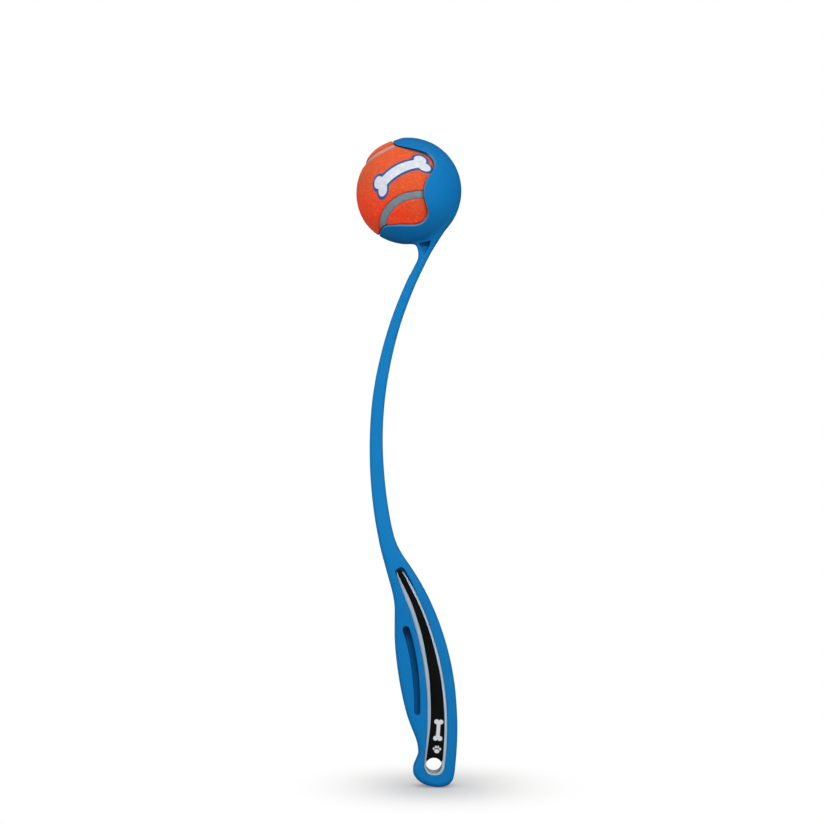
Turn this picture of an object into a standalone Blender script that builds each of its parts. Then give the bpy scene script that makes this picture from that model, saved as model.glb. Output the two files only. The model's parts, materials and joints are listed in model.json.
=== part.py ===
"""Dog ball thrower with its ball, 338 mm tall.

A curved wand moulded in one piece with a ball cup at the top and a grip at the
bottom. The grip carries a silver tray with a black strip on each side, and a
hang hole lined by the two trays. The ball is two rubber half shells under two
interlocking felt panels with a seam between them.

Frame: X across the profile (the cup's mouth faces -X), Y across the thickness,
Z up. The origin is the middle of the grip, where the hand closes around it.
All numbers below are millimetres unless they say otherwise.
"""

import math

import bmesh
import bpy
from mathutils import Matrix, Vector

MM = 0.001

# ---- cup -----------------------------------------------------------------
CUP_CENTRE = (-8.2, 0.0, 249.0)
CUP_OUTER_R = 27.75
CUP_WALL = 1.6
MOUTH_TILT_DEG = 8.0  # the mouth's axis points this far above -X
CUP_MERIDIANS = 52
CUP_RINGS = 9
RIM_ROUND = 0.35
# A quarter of the rim, from a finger's tip to the middle of a side tab:
# azimuth about the mouth's axis from that finger, and polar angle from it.
# The two fingers are alike, and so are the two side tabs.
CUP_RIM_DEG = (
    (0, 65.0), (12, 65.3), (22, 66.4), (28, 68.0), (34.5, 71.0), (38.5, 75.5),
    (42, 84.0), (43.8, 92.5), (44.6, 103.0), (47.1, 110.0), (52, 114.4),
    (58, 116.2), (64.5, 115.6), (71.5, 112.9), (79.5, 109.6), (90, 107.7),
)

# ---- ball ----------------------------------------------------------------
BALL_R = 25.2  # a small 2 inch (51 mm) ball with its felt pressed flat
BALL_SHIFT = 0.5  # the ball sits this far out along the mouth's axis
CORE_OUTER_R = 22.8
CORE_WALL = 3.3
FELT_INNER_R = 23.2
SEAM_OUTER_R = 24.7
SEAM_WIDTH = 3.6
SEAM_GAP = 0.4
SEAM_SHAPE = 0.216  # share of the third harmonic in the seam's curve
BALL_TURN_DEG = (63.0, 104.0, 16.5)  # Z, Y, Z turns that set the seam in the cup
SPINE_HALF_DEG = 106.0  # half length of a felt panel's middle line
SEAM_STEPS = 56
FELT_RINGS = 4

# ---- wand and grip -------------------------------------------------------
# Outline of the profile, as (height, back edge X, front edge X).
PROFILE = (
    (-61.0, 6.2, 9.0), (-60.75, 4.4, 10.5), (-60.3, 2.4, 11.9),
    (-59.6, 0.3, 13.0), (-58.4, -1.9, 14.2), (-57.2, -3.4, 15.0),
    (-54.1, -5.5, 15.8), (-51.0, -5.5, 16.2), (-47.8, -4.2, 16.5),
    (-44.7, -3.1, 16.8), (-41.6, -3.1, 17.0),
    (-38.5, -3.5, 17.2), (-35.4, -4.4, 17.3), (-29.1, -6.9, 17.4),
    (-22.9, -9.1, 17.2), (-10.4, -12.0, 16.3), (2.1, -14.0, 14.3),
    (14.6, -15.2, 11.1), (26.0, -15.3, 7.2), (33.3, -15.3, 4.1),
    (39.5, -16.3, 1.1), (45.8, -18.0, -2.4), (52.0, -19.7, -6.3),
    (58.2, -21.4, -10.6), (64.5, -23.0, -14.1), (70.7, -24.2, -16.2),
    (77.0, -25.4, -17.5), (89.4, -27.0, -19.5), (101.9, -28.0, -20.8),
    (114.4, -28.3, -21.5), (126.9, -28.0, -21.4), (139.4, -27.0, -20.5),
    (151.8, -25.1, -18.8), (164.3, -22.3, -16.3), (176.8, -18.8, -13.1),
    (189.3, -14.4, -8.9), (201.8, -9.1, -3.8), (208.0, -6.0, -0.7),
    (213.3, -3.4, 1.9), (215.9, -3.1, 3.3), (218.3, -3.3, 4.6),
    (220.7, -4.2, 6.0), (222.4, -6.0, 7.0), (225.5, -6.0, 8.9),
    (231.0, -6.0, 12.6), (236.6, -5.0, 16.4), (239.5, -4.0, 17.0),
)
GRIP_HALF_T = 7.0
WAND_HALF_T = 5.5
NECK_HALF_T = 5.0
GRIP_TOP_Z, WAND_LOW_Z = 54.0, 95.0  # the thickness grows from wand to grip here
EDGE_ROUND_GRIP, EDGE_ROUND_WAND = 2.4, 2.2

# ---- grip tray, strip and hang hole --------------------------------------
# Edges of the tray and the strip, as (height, X), from the tip down.
TRAY_BACK = (
    (51.6, -14.3), (45.2, -13.4), (39.9, -11.4), (35.5, -9.3), (29.3, -7.0),
    (18.7, -3.3), (9.1, -1.1), (0.7, 0.3), (-8.0, 1.1), (-16.7, 1.7),
    (-26.0, 1.8), (-36.5, 1.2), (-43.9, 0.5), (-49.0, 0.2),
)
TRAY_FRONT = (
    (51.6, -11.0), (49.1, -9.3), (41.9, -5.2), (33.8, -1.0), (26.9, 1.8),
    (18.1, 4.9), (9.5, 7.6), (1.5, 9.4), (-8.0, 10.9), (-15.6, 11.5),
    (-27.6, 11.9), (-36.5, 11.7), (-45.4, 11.2), (-49.0, 10.9),
)
STRIP_BACK = (
    (50.6, -13.5), (46.6, -12.3), (40.8, -9.5), (36.0, -6.9), (30.2, -4.4),
    (22.7, -1.7), (11.2, 1.3), (2.5, 2.5), (-6.2, 3.4), (-14.9, 3.7),
    (-26.0, 3.7), (-36.5, 3.0), (-42.5, 2.1), (-47.6, 1.5),
)
STRIP_FRONT = (
    (50.6, -11.9), (45.6, -8.7), (39.9, -5.7), (34.6, -2.7), (28.5, 0.0),
    (18.8, 3.4), (9.1, 6.2), (0.7, 8.0), (-8.0, 9.3), (-16.7, 10.0),
    (-24.4, 10.5), (-33.5, 10.5), (-41.0, 10.1), (-47.6, 9.6),
)
FIT_GAP = 0.3
RECESS_FLOOR_Y = 4.6
TRAY_Y = (4.9, 6.6)
TRAY_POCKET_Y = 5.6
STRIP_Y = (5.9, 6.4)
HOLE_X, HOLE_Z = 5.1, -49.9
HOLE_R, LINING_R, BORE_R = 4.1, 4.7, 5.0

# ---- finger groove and neck pocket ---------------------------------------
GROOVE = ((-9.3, 20.8), (-6.9, 12.4), (-4.8, 0.4), (-3.7, -12.0), (-3.5, -22.0))
GROOVE_WIDTH = (3.3, 2.9)
GROOVE_FLOOR_Y = 3.2
POCKET = ((-1.8, 221.0), (3.4, 221.6), (-0.1, 213.0))
POCKET_FLOOR_Y = (2.3, 2.5, 4.9)


# ---------------------------------------------------------------------------
# helpers
# ---------------------------------------------------------------------------
def clear_scene():
    for o in list(bpy.data.objects):
        bpy.data.objects.remove(o, do_unlink=True)


def material(name, rgb, roughness, metallic=0.0):
    m = bpy.data.materials.new(name)
    m.use_nodes = True
    s = m.node_tree.nodes["Principled BSDF"]
    s.inputs["Base Color"].default_value = (*rgb, 1.0)
    s.inputs["Roughness"].default_value = roughness
    s.inputs["Metallic"].default_value = metallic
    m.diffuse_color = (*rgb, 1.0)
    return m


def place(bm, name, where, mat=None):
    """The bmesh as a named object in metres."""
    bmesh.ops.recalc_face_normals(bm, faces=bm.faces)
    bmesh.ops.scale(bm, vec=(MM, MM, MM), verts=bm.verts)
    me = bpy.data.meshes.new(name)
    bm.to_mesh(me)
    bm.free()
    o = bpy.data.objects.new(name, me)
    where.objects.link(o)
    if mat:
        me.materials.append(mat)
    me.shade_smooth()
    me.set_sharp_from_angle(angle=math.radians(35))
    return o


def cutter(bm, name):
    o = place(bm, name, cutters)
    o.hide_render = True
    o.display_type = "WIRE"
    return o


def boolean(target, other, operation):
    m = target.modifiers.new(f"{operation.lower()} {other.name}", "BOOLEAN")
    m.operation = operation
    m.solver = "EXACT"
    m.object = other
    return m


def read(stations, at):
    """Smooth curve through (key, value) stations with rising keys."""
    k = [s[0] for s in stations]
    v = [s[1] for s in stations]
    if at <= k[0]:
        return v[0]
    if at >= k[-1]:
        return v[-1]
    i = max(j for j in range(len(k) - 1) if k[j] <= at)

    def slope(j):
        if j == 0:
            return (v[1] - v[0]) / (k[1] - k[0])
        if j == len(k) - 1:
            return (v[-1] - v[-2]) / (k[-1] - k[-2])
        return (v[j + 1] - v[j - 1]) / (k[j + 1] - k[j - 1])

    h = k[i + 1] - k[i]
    t = (at - k[i]) / h
    return (
        (2 * t**3 - 3 * t**2 + 1) * v[i]
        + (t**3 - 2 * t**2 + t) * h * slope(i)
        + (-2 * t**3 + 3 * t**2) * v[i + 1]
        + (t**3 - t**2) * h * slope(i + 1)
    )


def edge(stations, z):
    """X of an edge given as (height, X) from the top down."""
    return read(stations[::-1], z)


def ease(t):
    t = min(1.0, max(0.0, t))
    return t * t * (3 - 2 * t)


def skin(bm, rings, closed=True, caps=True):
    """Quads between neighbouring rings of vertices, with the ends filled."""
    n = len(rings[0])
    for a, b in zip(rings, rings[1:]):
        for i in range(n if closed else n - 1):
            j = (i + 1) % n
            bm.faces.new((a[i], a[j], b[j], b[i]))
    if caps:
        bm.faces.new(rings[0])
        bm.faces.new(rings[-1])


def prism(outline, y0, y1):
    """A closed solid of a flat XZ outline between two heights in Y."""
    bm = bmesh.new()
    rings = [[bm.verts.new((x, y, z)) for x, z in outline] for y in (y0, y1)]
    skin(bm, rings)
    return bm


def offset(outline, by):
    """The closed outline moved out by a distance."""
    n = len(outline)
    area = sum(
        outline[i][0] * outline[(i + 1) % n][1]
        - outline[(i + 1) % n][0] * outline[i][1]
        for i in range(n)
    )
    side = 1 if area > 0 else -1
    moved = []
    for i in range(n):
        ax, az = outline[i - 1]
        bx, bz = outline[(i + 1) % n]
        dx, dz = bx - ax, bz - az
        s = math.hypot(dx, dz)
        moved.append((outline[i][0] + side * dz / s * by, outline[i][1] - side * dx / s * by))
    return moved


def label_outline(back, front, z_top, z_end, tip, bottom_r=None):
    """Outline of the tray or strip: down the back edge, round the end, up the
    front edge, and over the tip."""
    steps = 14
    zs = [z_top + (z_end - z_top) * i / steps for i in range(steps + 1)]
    points = [(edge(back, z), z) for z in zs]
    a, b = edge(back, z_end), edge(front, z_end)
    if bottom_r:
        cx = (a + b) / 2
        r = (b - a) / 2
        for i in range(1, 9):
            q = math.pi + math.pi * i / 9
            points.append((cx + r * math.cos(q), z_end + bottom_r * math.sin(q)))
    points += [(edge(front, z), z) for z in reversed(zs)]
    a, b = edge(back, z_top), edge(front, z_top)
    for i in range(1, 4):
        q = math.pi * i / 4
        points.append(
            ((a + b) / 2 + (b - a) / 2 * math.cos(q), z_top + tip * math.sin(q))
        )
    return points


# ---------------------------------------------------------------------------
# thrower body
# ---------------------------------------------------------------------------
def mouth_frame():
    """Columns: straight up across the mouth, sideways, and out of the mouth."""
    a = math.radians(MOUTH_TILT_DEG)
    out = Vector((-math.cos(a), 0, math.sin(a)))
    up = Vector((math.sin(a), 0, math.cos(a)))
    side = Vector((0, -1, 0))
    return up, side, out


def rim_points(count):
    """Evenly spaced (azimuth, polar) along the whole rim, in radians."""
    dense = []
    for i in range(721):
        phi = 180 * i / 720
        theta = read(CUP_RIM_DEG, min(phi, 180 - phi))
        dense.append((math.radians(phi), math.radians(theta)))
    length = [0.0]
    for (p0, t0), (p1, t1) in zip(dense, dense[1:]):
        length.append(
            length[-1] + math.hypot(t1 - t0, (p1 - p0) * math.sin((t0 + t1) / 2))
        )
    half = count // 2
    found = []
    for i in range(half + 1):
        want = length[-1] * i / half
        j = min(range(len(length)), key=lambda q: abs(length[q] - want))
        found.append(dense[j])
    return found + [(2 * math.pi - p, t) for p, t in reversed(found[1:-1])]


def build_cup(where):
    """A sphere opened along the rim's curve, with a wall inside it."""
    bm = bmesh.new()
    rings_all = CUP_RINGS * 2
    bmesh.ops.create_uvsphere(
        bm, u_segments=CUP_MERIDIANS, v_segments=rings_all, radius=1.0
    )
    rim = rim_points(CUP_MERIDIANS)
    up, side, out = mouth_frame()
    centre = Vector(CUP_CENTRE)
    lost = []
    for v in bm.verts:
        polar = math.acos(max(-1, min(1, v.co.z)))
        row = round(polar / math.pi * rings_all)
        if row < CUP_RINGS:
            lost.append(v)
            continue
        share = (row - CUP_RINGS) / CUP_RINGS
        if row == rings_all:
            phi, theta = 0.0, math.pi
        else:
            i = round(math.atan2(v.co.y, v.co.x) / (2 * math.pi) * CUP_MERIDIANS)
            phi, theta0 = rim[i % CUP_MERIDIANS]
            theta = theta0 + (math.pi - theta0) * share
        v.co = centre + CUP_OUTER_R * (
            out * math.cos(theta)
            + math.sin(theta) * (up * math.cos(phi) + side * math.sin(phi))
        )
    bmesh.ops.delete(bm, geom=lost, context="VERTS")
    o = place(bm, "thrower_body", where, blue)
    s = o.modifiers.new("wall", "SOLIDIFY")
    s.thickness = CUP_WALL * MM
    # The wall goes inwards whichever way the open surface was wound.
    me = o.data
    outward = (me.polygons[0].center - centre * MM).dot(me.polygons[0].normal) > 0
    s.offset = -1 if outward else 1
    b = o.modifiers.new("rim", "BEVEL")
    b.width = RIM_ROUND * MM
    b.segments = 1
    b.limit_method = "ANGLE"
    b.angle_limit = math.radians(50)
    return o


def half_thickness(z):
    if z < WAND_LOW_Z:
        t = ease((WAND_LOW_Z - z) / (WAND_LOW_Z - GRIP_TOP_Z))
        h = WAND_HALF_T + (GRIP_HALF_T - WAND_HALF_T) * t
    else:
        t = ease((z - 170) / 45)
        h = WAND_HALF_T + (NECK_HALF_T - WAND_HALF_T) * t
    # the butt's lower edge is rounded
    over = -57.9 - z
    if over > 0:
        r = EDGE_ROUND_GRIP
        h -= r - math.sqrt(max(0.0, r * r - min(r, over) ** 2))
    return h


def section(z, back, front):
    """A rounded rectangle across the wand at one height."""
    hx, hy = (front - back) / 2, half_thickness(z)
    grip = ease((WAND_LOW_Z - z) / (WAND_LOW_Z - GRIP_TOP_Z))
    r = EDGE_ROUND_WAND + (EDGE_ROUND_GRIP - EDGE_ROUND_WAND) * grip
    rx, ry = min(r, hx * 0.9), min(r, hy * 0.9)
    points = []
    for sx, sy, q0 in ((1, 1, 0), (-1, 1, 90), (-1, -1, 180), (1, -1, 270)):
        for k in range(4):
            q = math.radians(q0 + 30 * k)
            points.append(
                (
                    (front + back) / 2 + sx * (hx - rx) + rx * math.cos(q),
                    sy * (hy - ry) + ry * math.sin(q),
                    z,
                )
            )
    return points


def build_wand(where):
    """The neck, wand and grip, lofted up through their sections."""
    bm = bmesh.new()
    rings = [
        [bm.verts.new(p) for p in section(z, back, front)] for z, back, front in PROFILE
    ]
    skin(bm, rings)
    o = cutter(bm, "wand_and_grip")
    # what would stand inside the cup is cut off within its wall
    core = bmesh.new()
    bmesh.ops.create_uvsphere(
        core, u_segments=48, v_segments=24, radius=CUP_OUTER_R - 0.45 * CUP_WALL
    )
    bmesh.ops.translate(core, verts=core.verts, vec=CUP_CENTRE)
    boolean(o, cutter(core, "cup_inside"), "DIFFERENCE")
    return o


def groove_cutter(sign):
    """A slot with round ends that follows the grip's back edge."""
    steps, around = 12, 6
    xs = [(j, p[0]) for j, p in enumerate(GROOVE)]
    zs = [(j, p[1]) for j, p in enumerate(GROOVE)]
    left, right, ends = [], [], []
    for i in range(steps + 1):
        t = i / steps * (len(GROOVE) - 1)
        x, z = read(xs, t), read(zs, t)
        dx, dz = read(xs, t + 0.05) - read(xs, t - 0.05), read(zs, t + 0.05) - read(zs, t - 0.05)
        s = math.hypot(dx, dz)
        tx, tz = dx / s, dz / s
        r = (GROOVE_WIDTH[0] + (GROOVE_WIDTH[1] - GROOVE_WIDTH[0]) * i / steps) / 2
        left.append((x - tz * r, z + tx * r))
        right.append((x + tz * r, z - tx * r))
        if i in (0, steps):
            w = -1 if i == 0 else 1
            ends.append(
                [
                    (x + r * (-tz * math.cos(q) + w * tx * math.sin(q)),
                     z + r * (tx * math.cos(q) + w * tz * math.sin(q)))
                    for q in (math.pi * k / around for k in range(1, around))
                ]
            )
    outline = left + ends[1] + right[::-1] + ends[0][::-1]
    return prism(outline, sign * GROOVE_FLOOR_Y, sign * (GRIP_HALF_T + 3))


def pocket_cutter(sign):
    """The recess between the neck's two ribs, deepest under the cup."""
    bm = bmesh.new()
    cx = sum(p[0] for p in POCKET) / 3
    cz = sum(p[1] for p in POCKET) / 3
    rings = []
    for which in (0, 1):
        ring = []
        for (x, z), floor in zip(POCKET, POCKET_FLOOR_Y):
            y = floor if which == 0 else NECK_HALF_T + 4
            grow = 1.0 if which == 0 else 1.12
            ring.append(
                bm.verts.new((cx + (x - cx) * grow, sign * y, cz + (z - cz) * grow))
            )
        rings.append(ring)
    skin(bm, rings)
    return bm


def hole_cylinder(radius, y0, y1, steps=24):
    """A round bar along Y through the hang hole."""
    bm = bmesh.new()
    turn = Matrix.Translation((HOLE_X, (y0 + y1) / 2, HOLE_Z)) @ Matrix.Rotation(
        math.pi / 2, 4, "X"
    )
    bmesh.ops.create_cone(
        bm, cap_ends=True, segments=steps, radius1=radius, radius2=radius,
        depth=abs(y1 - y0), matrix=turn,
    )
    return bm


def tray_outline():
    return label_outline(TRAY_BACK, TRAY_FRONT, 51.6, -49.0, 1.5, 5.7)


def strip_outline():
    return label_outline(STRIP_BACK, STRIP_FRONT, 50.6, -47.6, 0.9)


def build_body(where):
    body = build_cup(where)
    boolean(body, build_wand(where), "UNION")
    recess = offset(tray_outline(), FIT_GAP)
    for sign, side in ((-1, "left"), (1, "right")):
        boolean(
            body,
            cutter(prism(recess, sign * RECESS_FLOOR_Y, sign * 11), f"recess_{side}"),
            "DIFFERENCE",
        )
        boolean(body, cutter(groove_cutter(sign), f"groove_{side}"), "DIFFERENCE")
        boolean(body, cutter(pocket_cutter(sign), f"pocket_{side}"), "DIFFERENCE")
    boolean(body, cutter(hole_cylinder(BORE_R, -12, 12), "bore"), "DIFFERENCE")
    return body


# ---------------------------------------------------------------------------
# trays and strips
# ---------------------------------------------------------------------------
def build_tray(sign, side, where):
    tray = place(
        prism(tray_outline(), sign * TRAY_Y[0], sign * TRAY_Y[1]),
        f"grip_bezel_{side}", where, silver,
    )
    pocket = offset(strip_outline(), FIT_GAP)
    lining = cutter(
        hole_cylinder(LINING_R, sign * 0.15, sign * (TRAY_Y[0] + 0.4)), f"lining_{side}"
    )
    boolean(tray, lining, "UNION")
    boolean(
        tray,
        cutter(prism(pocket, sign * TRAY_POCKET_Y, sign * 11), f"tray_pocket_{side}"),
        "DIFFERENCE",
    )
    boolean(
        tray, cutter(hole_cylinder(HOLE_R, -1 * sign, 12 * sign), f"tray_hole_{side}"),
        "DIFFERENCE",
    )
    return tray


def build_strip(sign, side, where):
    strip = place(
        prism(strip_outline(), sign * STRIP_Y[0], sign * STRIP_Y[1]),
        f"grip_inlay_{side}", where, black,
    )
    boolean(
        strip, cutter(hole_cylinder(HOLE_R + 0.05, -1 * sign, 13 * sign), f"strip_hole_{side}"),
        "DIFFERENCE",
    )
    return strip


# ---------------------------------------------------------------------------
# ball
# ---------------------------------------------------------------------------
def ball_centre():
    return Vector(CUP_CENTRE) + mouth_frame()[2] * BALL_SHIFT


def ball_turn():
    a, b, c = (math.radians(q) for q in BALL_TURN_DEG)
    return (
        Matrix.Rotation(a, 3, "Z") @ Matrix.Rotation(b, 3, "Y") @ Matrix.Rotation(c, 3, "Z")
    )


def seam_at(t):
    """The seam's curve on a unit sphere, before the ball is turned."""
    b = SEAM_SHAPE
    a = 1 - b
    return Vector(
        (
            a * math.cos(t) + b * math.cos(3 * t),
            a * math.sin(t) - b * math.sin(3 * t),
            2 * math.sqrt(a * b) * math.sin(2 * t),
        )
    ).normalized()


def seam_side(t):
    """The direction across the seam on the sphere, towards the first panel."""
    p = seam_at(t)
    along = (seam_at(t + 1e-3) - seam_at(t - 1e-3)).normalized()
    return p.cross(along).normalized()


def spine_at(tau, panel):
    """A panel's middle line, a stretch of a great circle."""
    q = -math.radians(SPINE_HALF_DEG) * math.sin(tau)
    if panel == 0:
        return Vector((math.sin(q) / math.sqrt(2), -math.sin(q) / math.sqrt(2), math.cos(q)))
    return Vector((math.sin(q) / math.sqrt(2), math.sin(q) / math.sqrt(2), -math.cos(q)))


def build_panel(panel, name, where, mat):
    """One felt panel: rings from its edge beside the seam to its middle line."""
    bm = bmesh.new()
    turn, centre = ball_turn(), ball_centre()
    reach = (SEAM_WIDTH / 2 + SEAM_GAP) / BALL_R
    start = math.pi / 4 if panel == 0 else -math.pi / 4
    rings = []
    probe = spine_at(0, panel)
    for k in range(FELT_RINGS + 1):
        share = k / FELT_RINGS
        ring = []
        for i in range(SEAM_STEPS):
            tau = 2 * math.pi * i / SEAM_STEPS
            t = start + tau if panel == 0 else start - tau
            p, n = seam_at(t), seam_side(t)
            s = spine_at(tau, panel)
            if n.dot(s - p) < 0:
                n = -n
            e = (p * math.cos(reach) + n * math.sin(reach)).normalized()
            d = e.slerp(s, share) if share < 1 else s.copy()
            ring.append(bm.verts.new(centre + turn @ (d * BALL_R)))
        rings.append(ring)
    skin(bm, rings, caps=False)
    bmesh.ops.remove_doubles(bm, verts=bm.verts, dist=0.05)
    bmesh.ops.dissolve_degenerate(bm, edges=bm.edges, dist=0.01)
    o = place(bm, name, where, mat)
    me = o.data
    outward = (me.polygons[0].center - centre * MM).dot(me.polygons[0].normal) > 0
    s = o.modifiers.new("felt", "SOLIDIFY")
    s.thickness = (BALL_R - FELT_INNER_R) * MM
    s.offset = -1 if outward else 1
    return o


def build_seam(where):
    """The ribbon of cement between the panels."""
    bm = bmesh.new()
    turn, centre = ball_turn(), ball_centre()
    reach = SEAM_WIDTH / 2 / BALL_R
    n = SEAM_STEPS + 16
    rings = []
    for i in range(n):
        t = 2 * math.pi * i / n
        p, across = seam_at(t), seam_side(t)
        ring = []
        for q, r in (
            (-reach, FELT_INNER_R), (-reach, SEAM_OUTER_R),
            (reach, SEAM_OUTER_R), (reach, FELT_INNER_R),
        ):
            d = p * math.cos(q) + across * math.sin(q)
            ring.append(bm.verts.new(centre + turn @ (d * r)))
        rings.append(ring)
    skin(bm, rings + rings[:1], caps=False)
    return place(bm, "ball_seam", where, grey)


def build_core(sign, name, where):
    """A rubber half shell, open at the joint with its twin."""
    bm = bmesh.new()
    for radius in (CORE_OUTER_R, CORE_OUTER_R - CORE_WALL):
        bmesh.ops.create_uvsphere(bm, u_segments=28, v_segments=14, radius=radius)
    low = [v for v in bm.verts if v.co.z < -1e-4]
    bmesh.ops.delete(bm, geom=low, context="VERTS")
    rims = [e for e in bm.edges if e.is_boundary]
    bmesh.ops.bridge_loops(bm, edges=rims)
    turn = ball_turn().to_4x4() @ (
        Matrix.Identity(4) if sign > 0 else Matrix.Rotation(math.pi, 4, "X")
    )
    bmesh.ops.transform(
        bm,
        matrix=Matrix.Translation(ball_centre()) @ turn @ Matrix.Translation((0, 0, 0.15)),
        verts=bm.verts,
    )
    return place(bm, name, where, rubber)


# ---------------------------------------------------------------------------
clear_scene()
parts = bpy.data.collections.new("dog_ball_thrower")
cutters = bpy.data.collections.new("cutters")
for c in (parts, cutters):
    bpy.context.scene.collection.children.link(c)

blue = material("blue_plastic", (0.006, 0.174, 0.479), 0.38)
silver = material("silver_plastic", (0.47, 0.50, 0.54), 0.32, 0.6)
black = material("black_strip", (0.006, 0.005, 0.005), 0.3)
orange = material("orange_felt", (0.80, 0.10, 0.025), 0.95)
orange_b = material("orange_felt_b", (0.78, 0.09, 0.022), 0.95)
grey = material("grey_seam", (0.17, 0.24, 0.30), 0.8)
rubber = material("ball_rubber", (0.09, 0.09, 0.09), 0.7)

body = build_body(parts)
for sign, side in ((-1, "left"), (1, "right")):
    build_tray(sign, side, parts)
    build_strip(sign, side, parts)
build_core(1, "ball_core_half_a", parts)
build_core(-1, "ball_core_half_b", parts)
build_panel(0, "ball_felt_panel_a", parts, orange)
build_panel(1, "ball_felt_panel_b", parts, orange_b)
build_seam(parts)
bpy.context.view_layer.update()
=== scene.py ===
import json
import math

import bmesh
import bpy
import numpy as np
from mathutils import Matrix, Vector, noise

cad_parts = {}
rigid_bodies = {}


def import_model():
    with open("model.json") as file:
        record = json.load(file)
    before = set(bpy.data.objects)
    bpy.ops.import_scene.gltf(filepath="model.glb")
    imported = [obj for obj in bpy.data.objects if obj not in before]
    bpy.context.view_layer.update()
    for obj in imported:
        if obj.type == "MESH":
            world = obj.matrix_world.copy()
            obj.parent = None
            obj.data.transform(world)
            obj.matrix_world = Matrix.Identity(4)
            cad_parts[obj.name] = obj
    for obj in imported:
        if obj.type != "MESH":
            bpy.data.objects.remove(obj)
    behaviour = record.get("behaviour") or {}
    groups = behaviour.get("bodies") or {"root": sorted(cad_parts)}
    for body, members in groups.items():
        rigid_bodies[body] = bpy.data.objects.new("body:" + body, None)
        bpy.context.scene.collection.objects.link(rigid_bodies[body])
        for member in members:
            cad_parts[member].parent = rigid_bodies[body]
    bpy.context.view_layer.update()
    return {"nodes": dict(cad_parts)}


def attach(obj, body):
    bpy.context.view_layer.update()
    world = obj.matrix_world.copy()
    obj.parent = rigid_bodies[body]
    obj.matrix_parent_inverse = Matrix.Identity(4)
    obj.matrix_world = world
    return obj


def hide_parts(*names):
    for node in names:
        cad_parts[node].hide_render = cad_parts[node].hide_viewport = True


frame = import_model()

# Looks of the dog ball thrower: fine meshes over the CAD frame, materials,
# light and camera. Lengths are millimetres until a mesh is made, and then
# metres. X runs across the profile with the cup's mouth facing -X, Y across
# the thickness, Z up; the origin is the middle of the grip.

MM = 0.001

# ---------------------------------------------------------------------------
# sizes
# ---------------------------------------------------------------------------
CUP_CENTRE = np.array((-8.2, 0.0, 249.03))
CUP_OUTER_R = 27.72
CUP_WALL = 1.58
MOUTH_TILT_DEG = 8.0
RIM_ROUND = 0.40
TIP_THIN = 0.6  # the upper finger is this much thinner at its tip
# a quarter of the rim: azimuth about the mouth's axis from a finger, polar angle
CUP_RIM_DEG = (
    (0, 65.0), (12, 65.3), (22, 66.4), (28, 68.0), (34.5, 71.0), (38.5, 75.5),
    (42, 84.0), (43.8, 92.5), (44.6, 103.0), (47.1, 110.0), (52, 114.4),
    (58, 116.2), (64.5, 115.6), (71.5, 112.9), (79.5, 109.6), (90, 107.7),
)
# outline of the wand and grip: height, back edge X, front edge X
PROFILE = (
    (-61.0, 6.2, 9.0), (-60.75, 4.4, 10.5), (-60.3, 2.4, 11.9),
    (-59.6, 0.3, 13.0), (-58.4, -1.9, 14.2), (-57.2, -3.4, 15.0),
    (-54.1, -5.5, 15.8), (-51.0, -5.5, 16.2), (-47.8, -4.2, 16.5),
    (-44.7, -3.1, 16.8), (-41.6, -3.1, 17.0),
    (-38.5, -3.5, 17.2), (-35.4, -4.4, 17.3), (-29.1, -6.9, 17.4),
    (-22.9, -9.1, 17.2), (-10.4, -12.0, 16.3), (2.1, -14.0, 14.3),
    (14.6, -15.2, 11.1), (26.0, -15.3, 7.2), (33.3, -15.3, 4.1),
    (39.5, -16.3, 1.1), (45.8, -18.0, -2.4), (52.0, -19.7, -6.3),
    (58.2, -21.4, -10.6), (64.5, -23.0, -14.1), (70.7, -24.2, -16.2),
    (77.0, -25.4, -17.5), (89.4, -27.0, -19.5), (101.9, -28.0, -20.8),
    (114.4, -28.3, -21.5), (126.9, -28.0, -21.4), (139.4, -27.0, -20.5),
    (151.8, -25.1, -18.8), (164.3, -22.3, -16.3), (176.8, -18.8, -13.1),
    (189.3, -14.4, -8.9), (201.8, -9.1, -3.8), (208.0, -6.0, -0.7),
    (213.3, -3.4, 1.9), (215.9, -3.1, 3.3), (218.3, -3.3, 4.6),
    (220.7, -4.2, 6.0), (222.4, -6.0, 7.0), (225.5, -6.0, 8.9),
    (228.7, -6.0, 11.0), (230.5, -6.0, 12.1), (233.0, -5.6, 13.0),
    (236.6, -5.0, 13.9), (239.5, -4.0, 14.2),
)
GRIP_HALF_T, WAND_HALF_T, NECK_HALF_T = 7.0, 5.5, 5.0
GRIP_TOP_Z, WAND_LOW_Z = 54.0, 95.0
EDGE_ROUND_GRIP, EDGE_ROUND_WAND = 2.4, 2.0
TRAY_BACK = (
    (51.4, -14.3), (48.7, -14.0), (44.6, -12.7), (40.4, -11.2), (36.3, -9.6),
    (30.1, -7.1), (21.8, -4.6), (13.5, -2.4), (5.2, -0.65), (-3.1, 0.5),
    (-11.4, 1.35), (-19.7, 1.65), (-28.0, 1.6), (-36.3, 1.15), (-44.6, 0.3),
    (-49.0, 0.0),
)
TRAY_FRONT = (
    (51.4, -11.2), (48.7, -9.3), (44.6, -6.7), (40.4, -4.4), (36.3, -2.4),
    (30.1, 0.35), (21.8, 3.45), (13.5, 6.05), (5.2, 8.25), (-3.1, 9.9),
    (-11.4, 11.15), (-19.7, 11.9), (-28.0, 12.15), (-36.3, 12.05), (-44.6, 11.45),
    (-49.0, 10.9),
)
STRIP_BACK = (
    (51.0, -13.9), (48.7, -13.1), (44.6, -11.1), (40.4, -9.0), (36.3, -7.1),
    (30.1, -4.8), (21.8, -2.1), (13.5, -0.1), (5.2, 1.4), (-3.1, 2.65),
    (-11.4, 3.25), (-19.7, 3.55), (-28.0, 3.35), (-36.3, 2.5), (-44.6, 1.4),
    (-47.6, 1.0),
)
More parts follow.
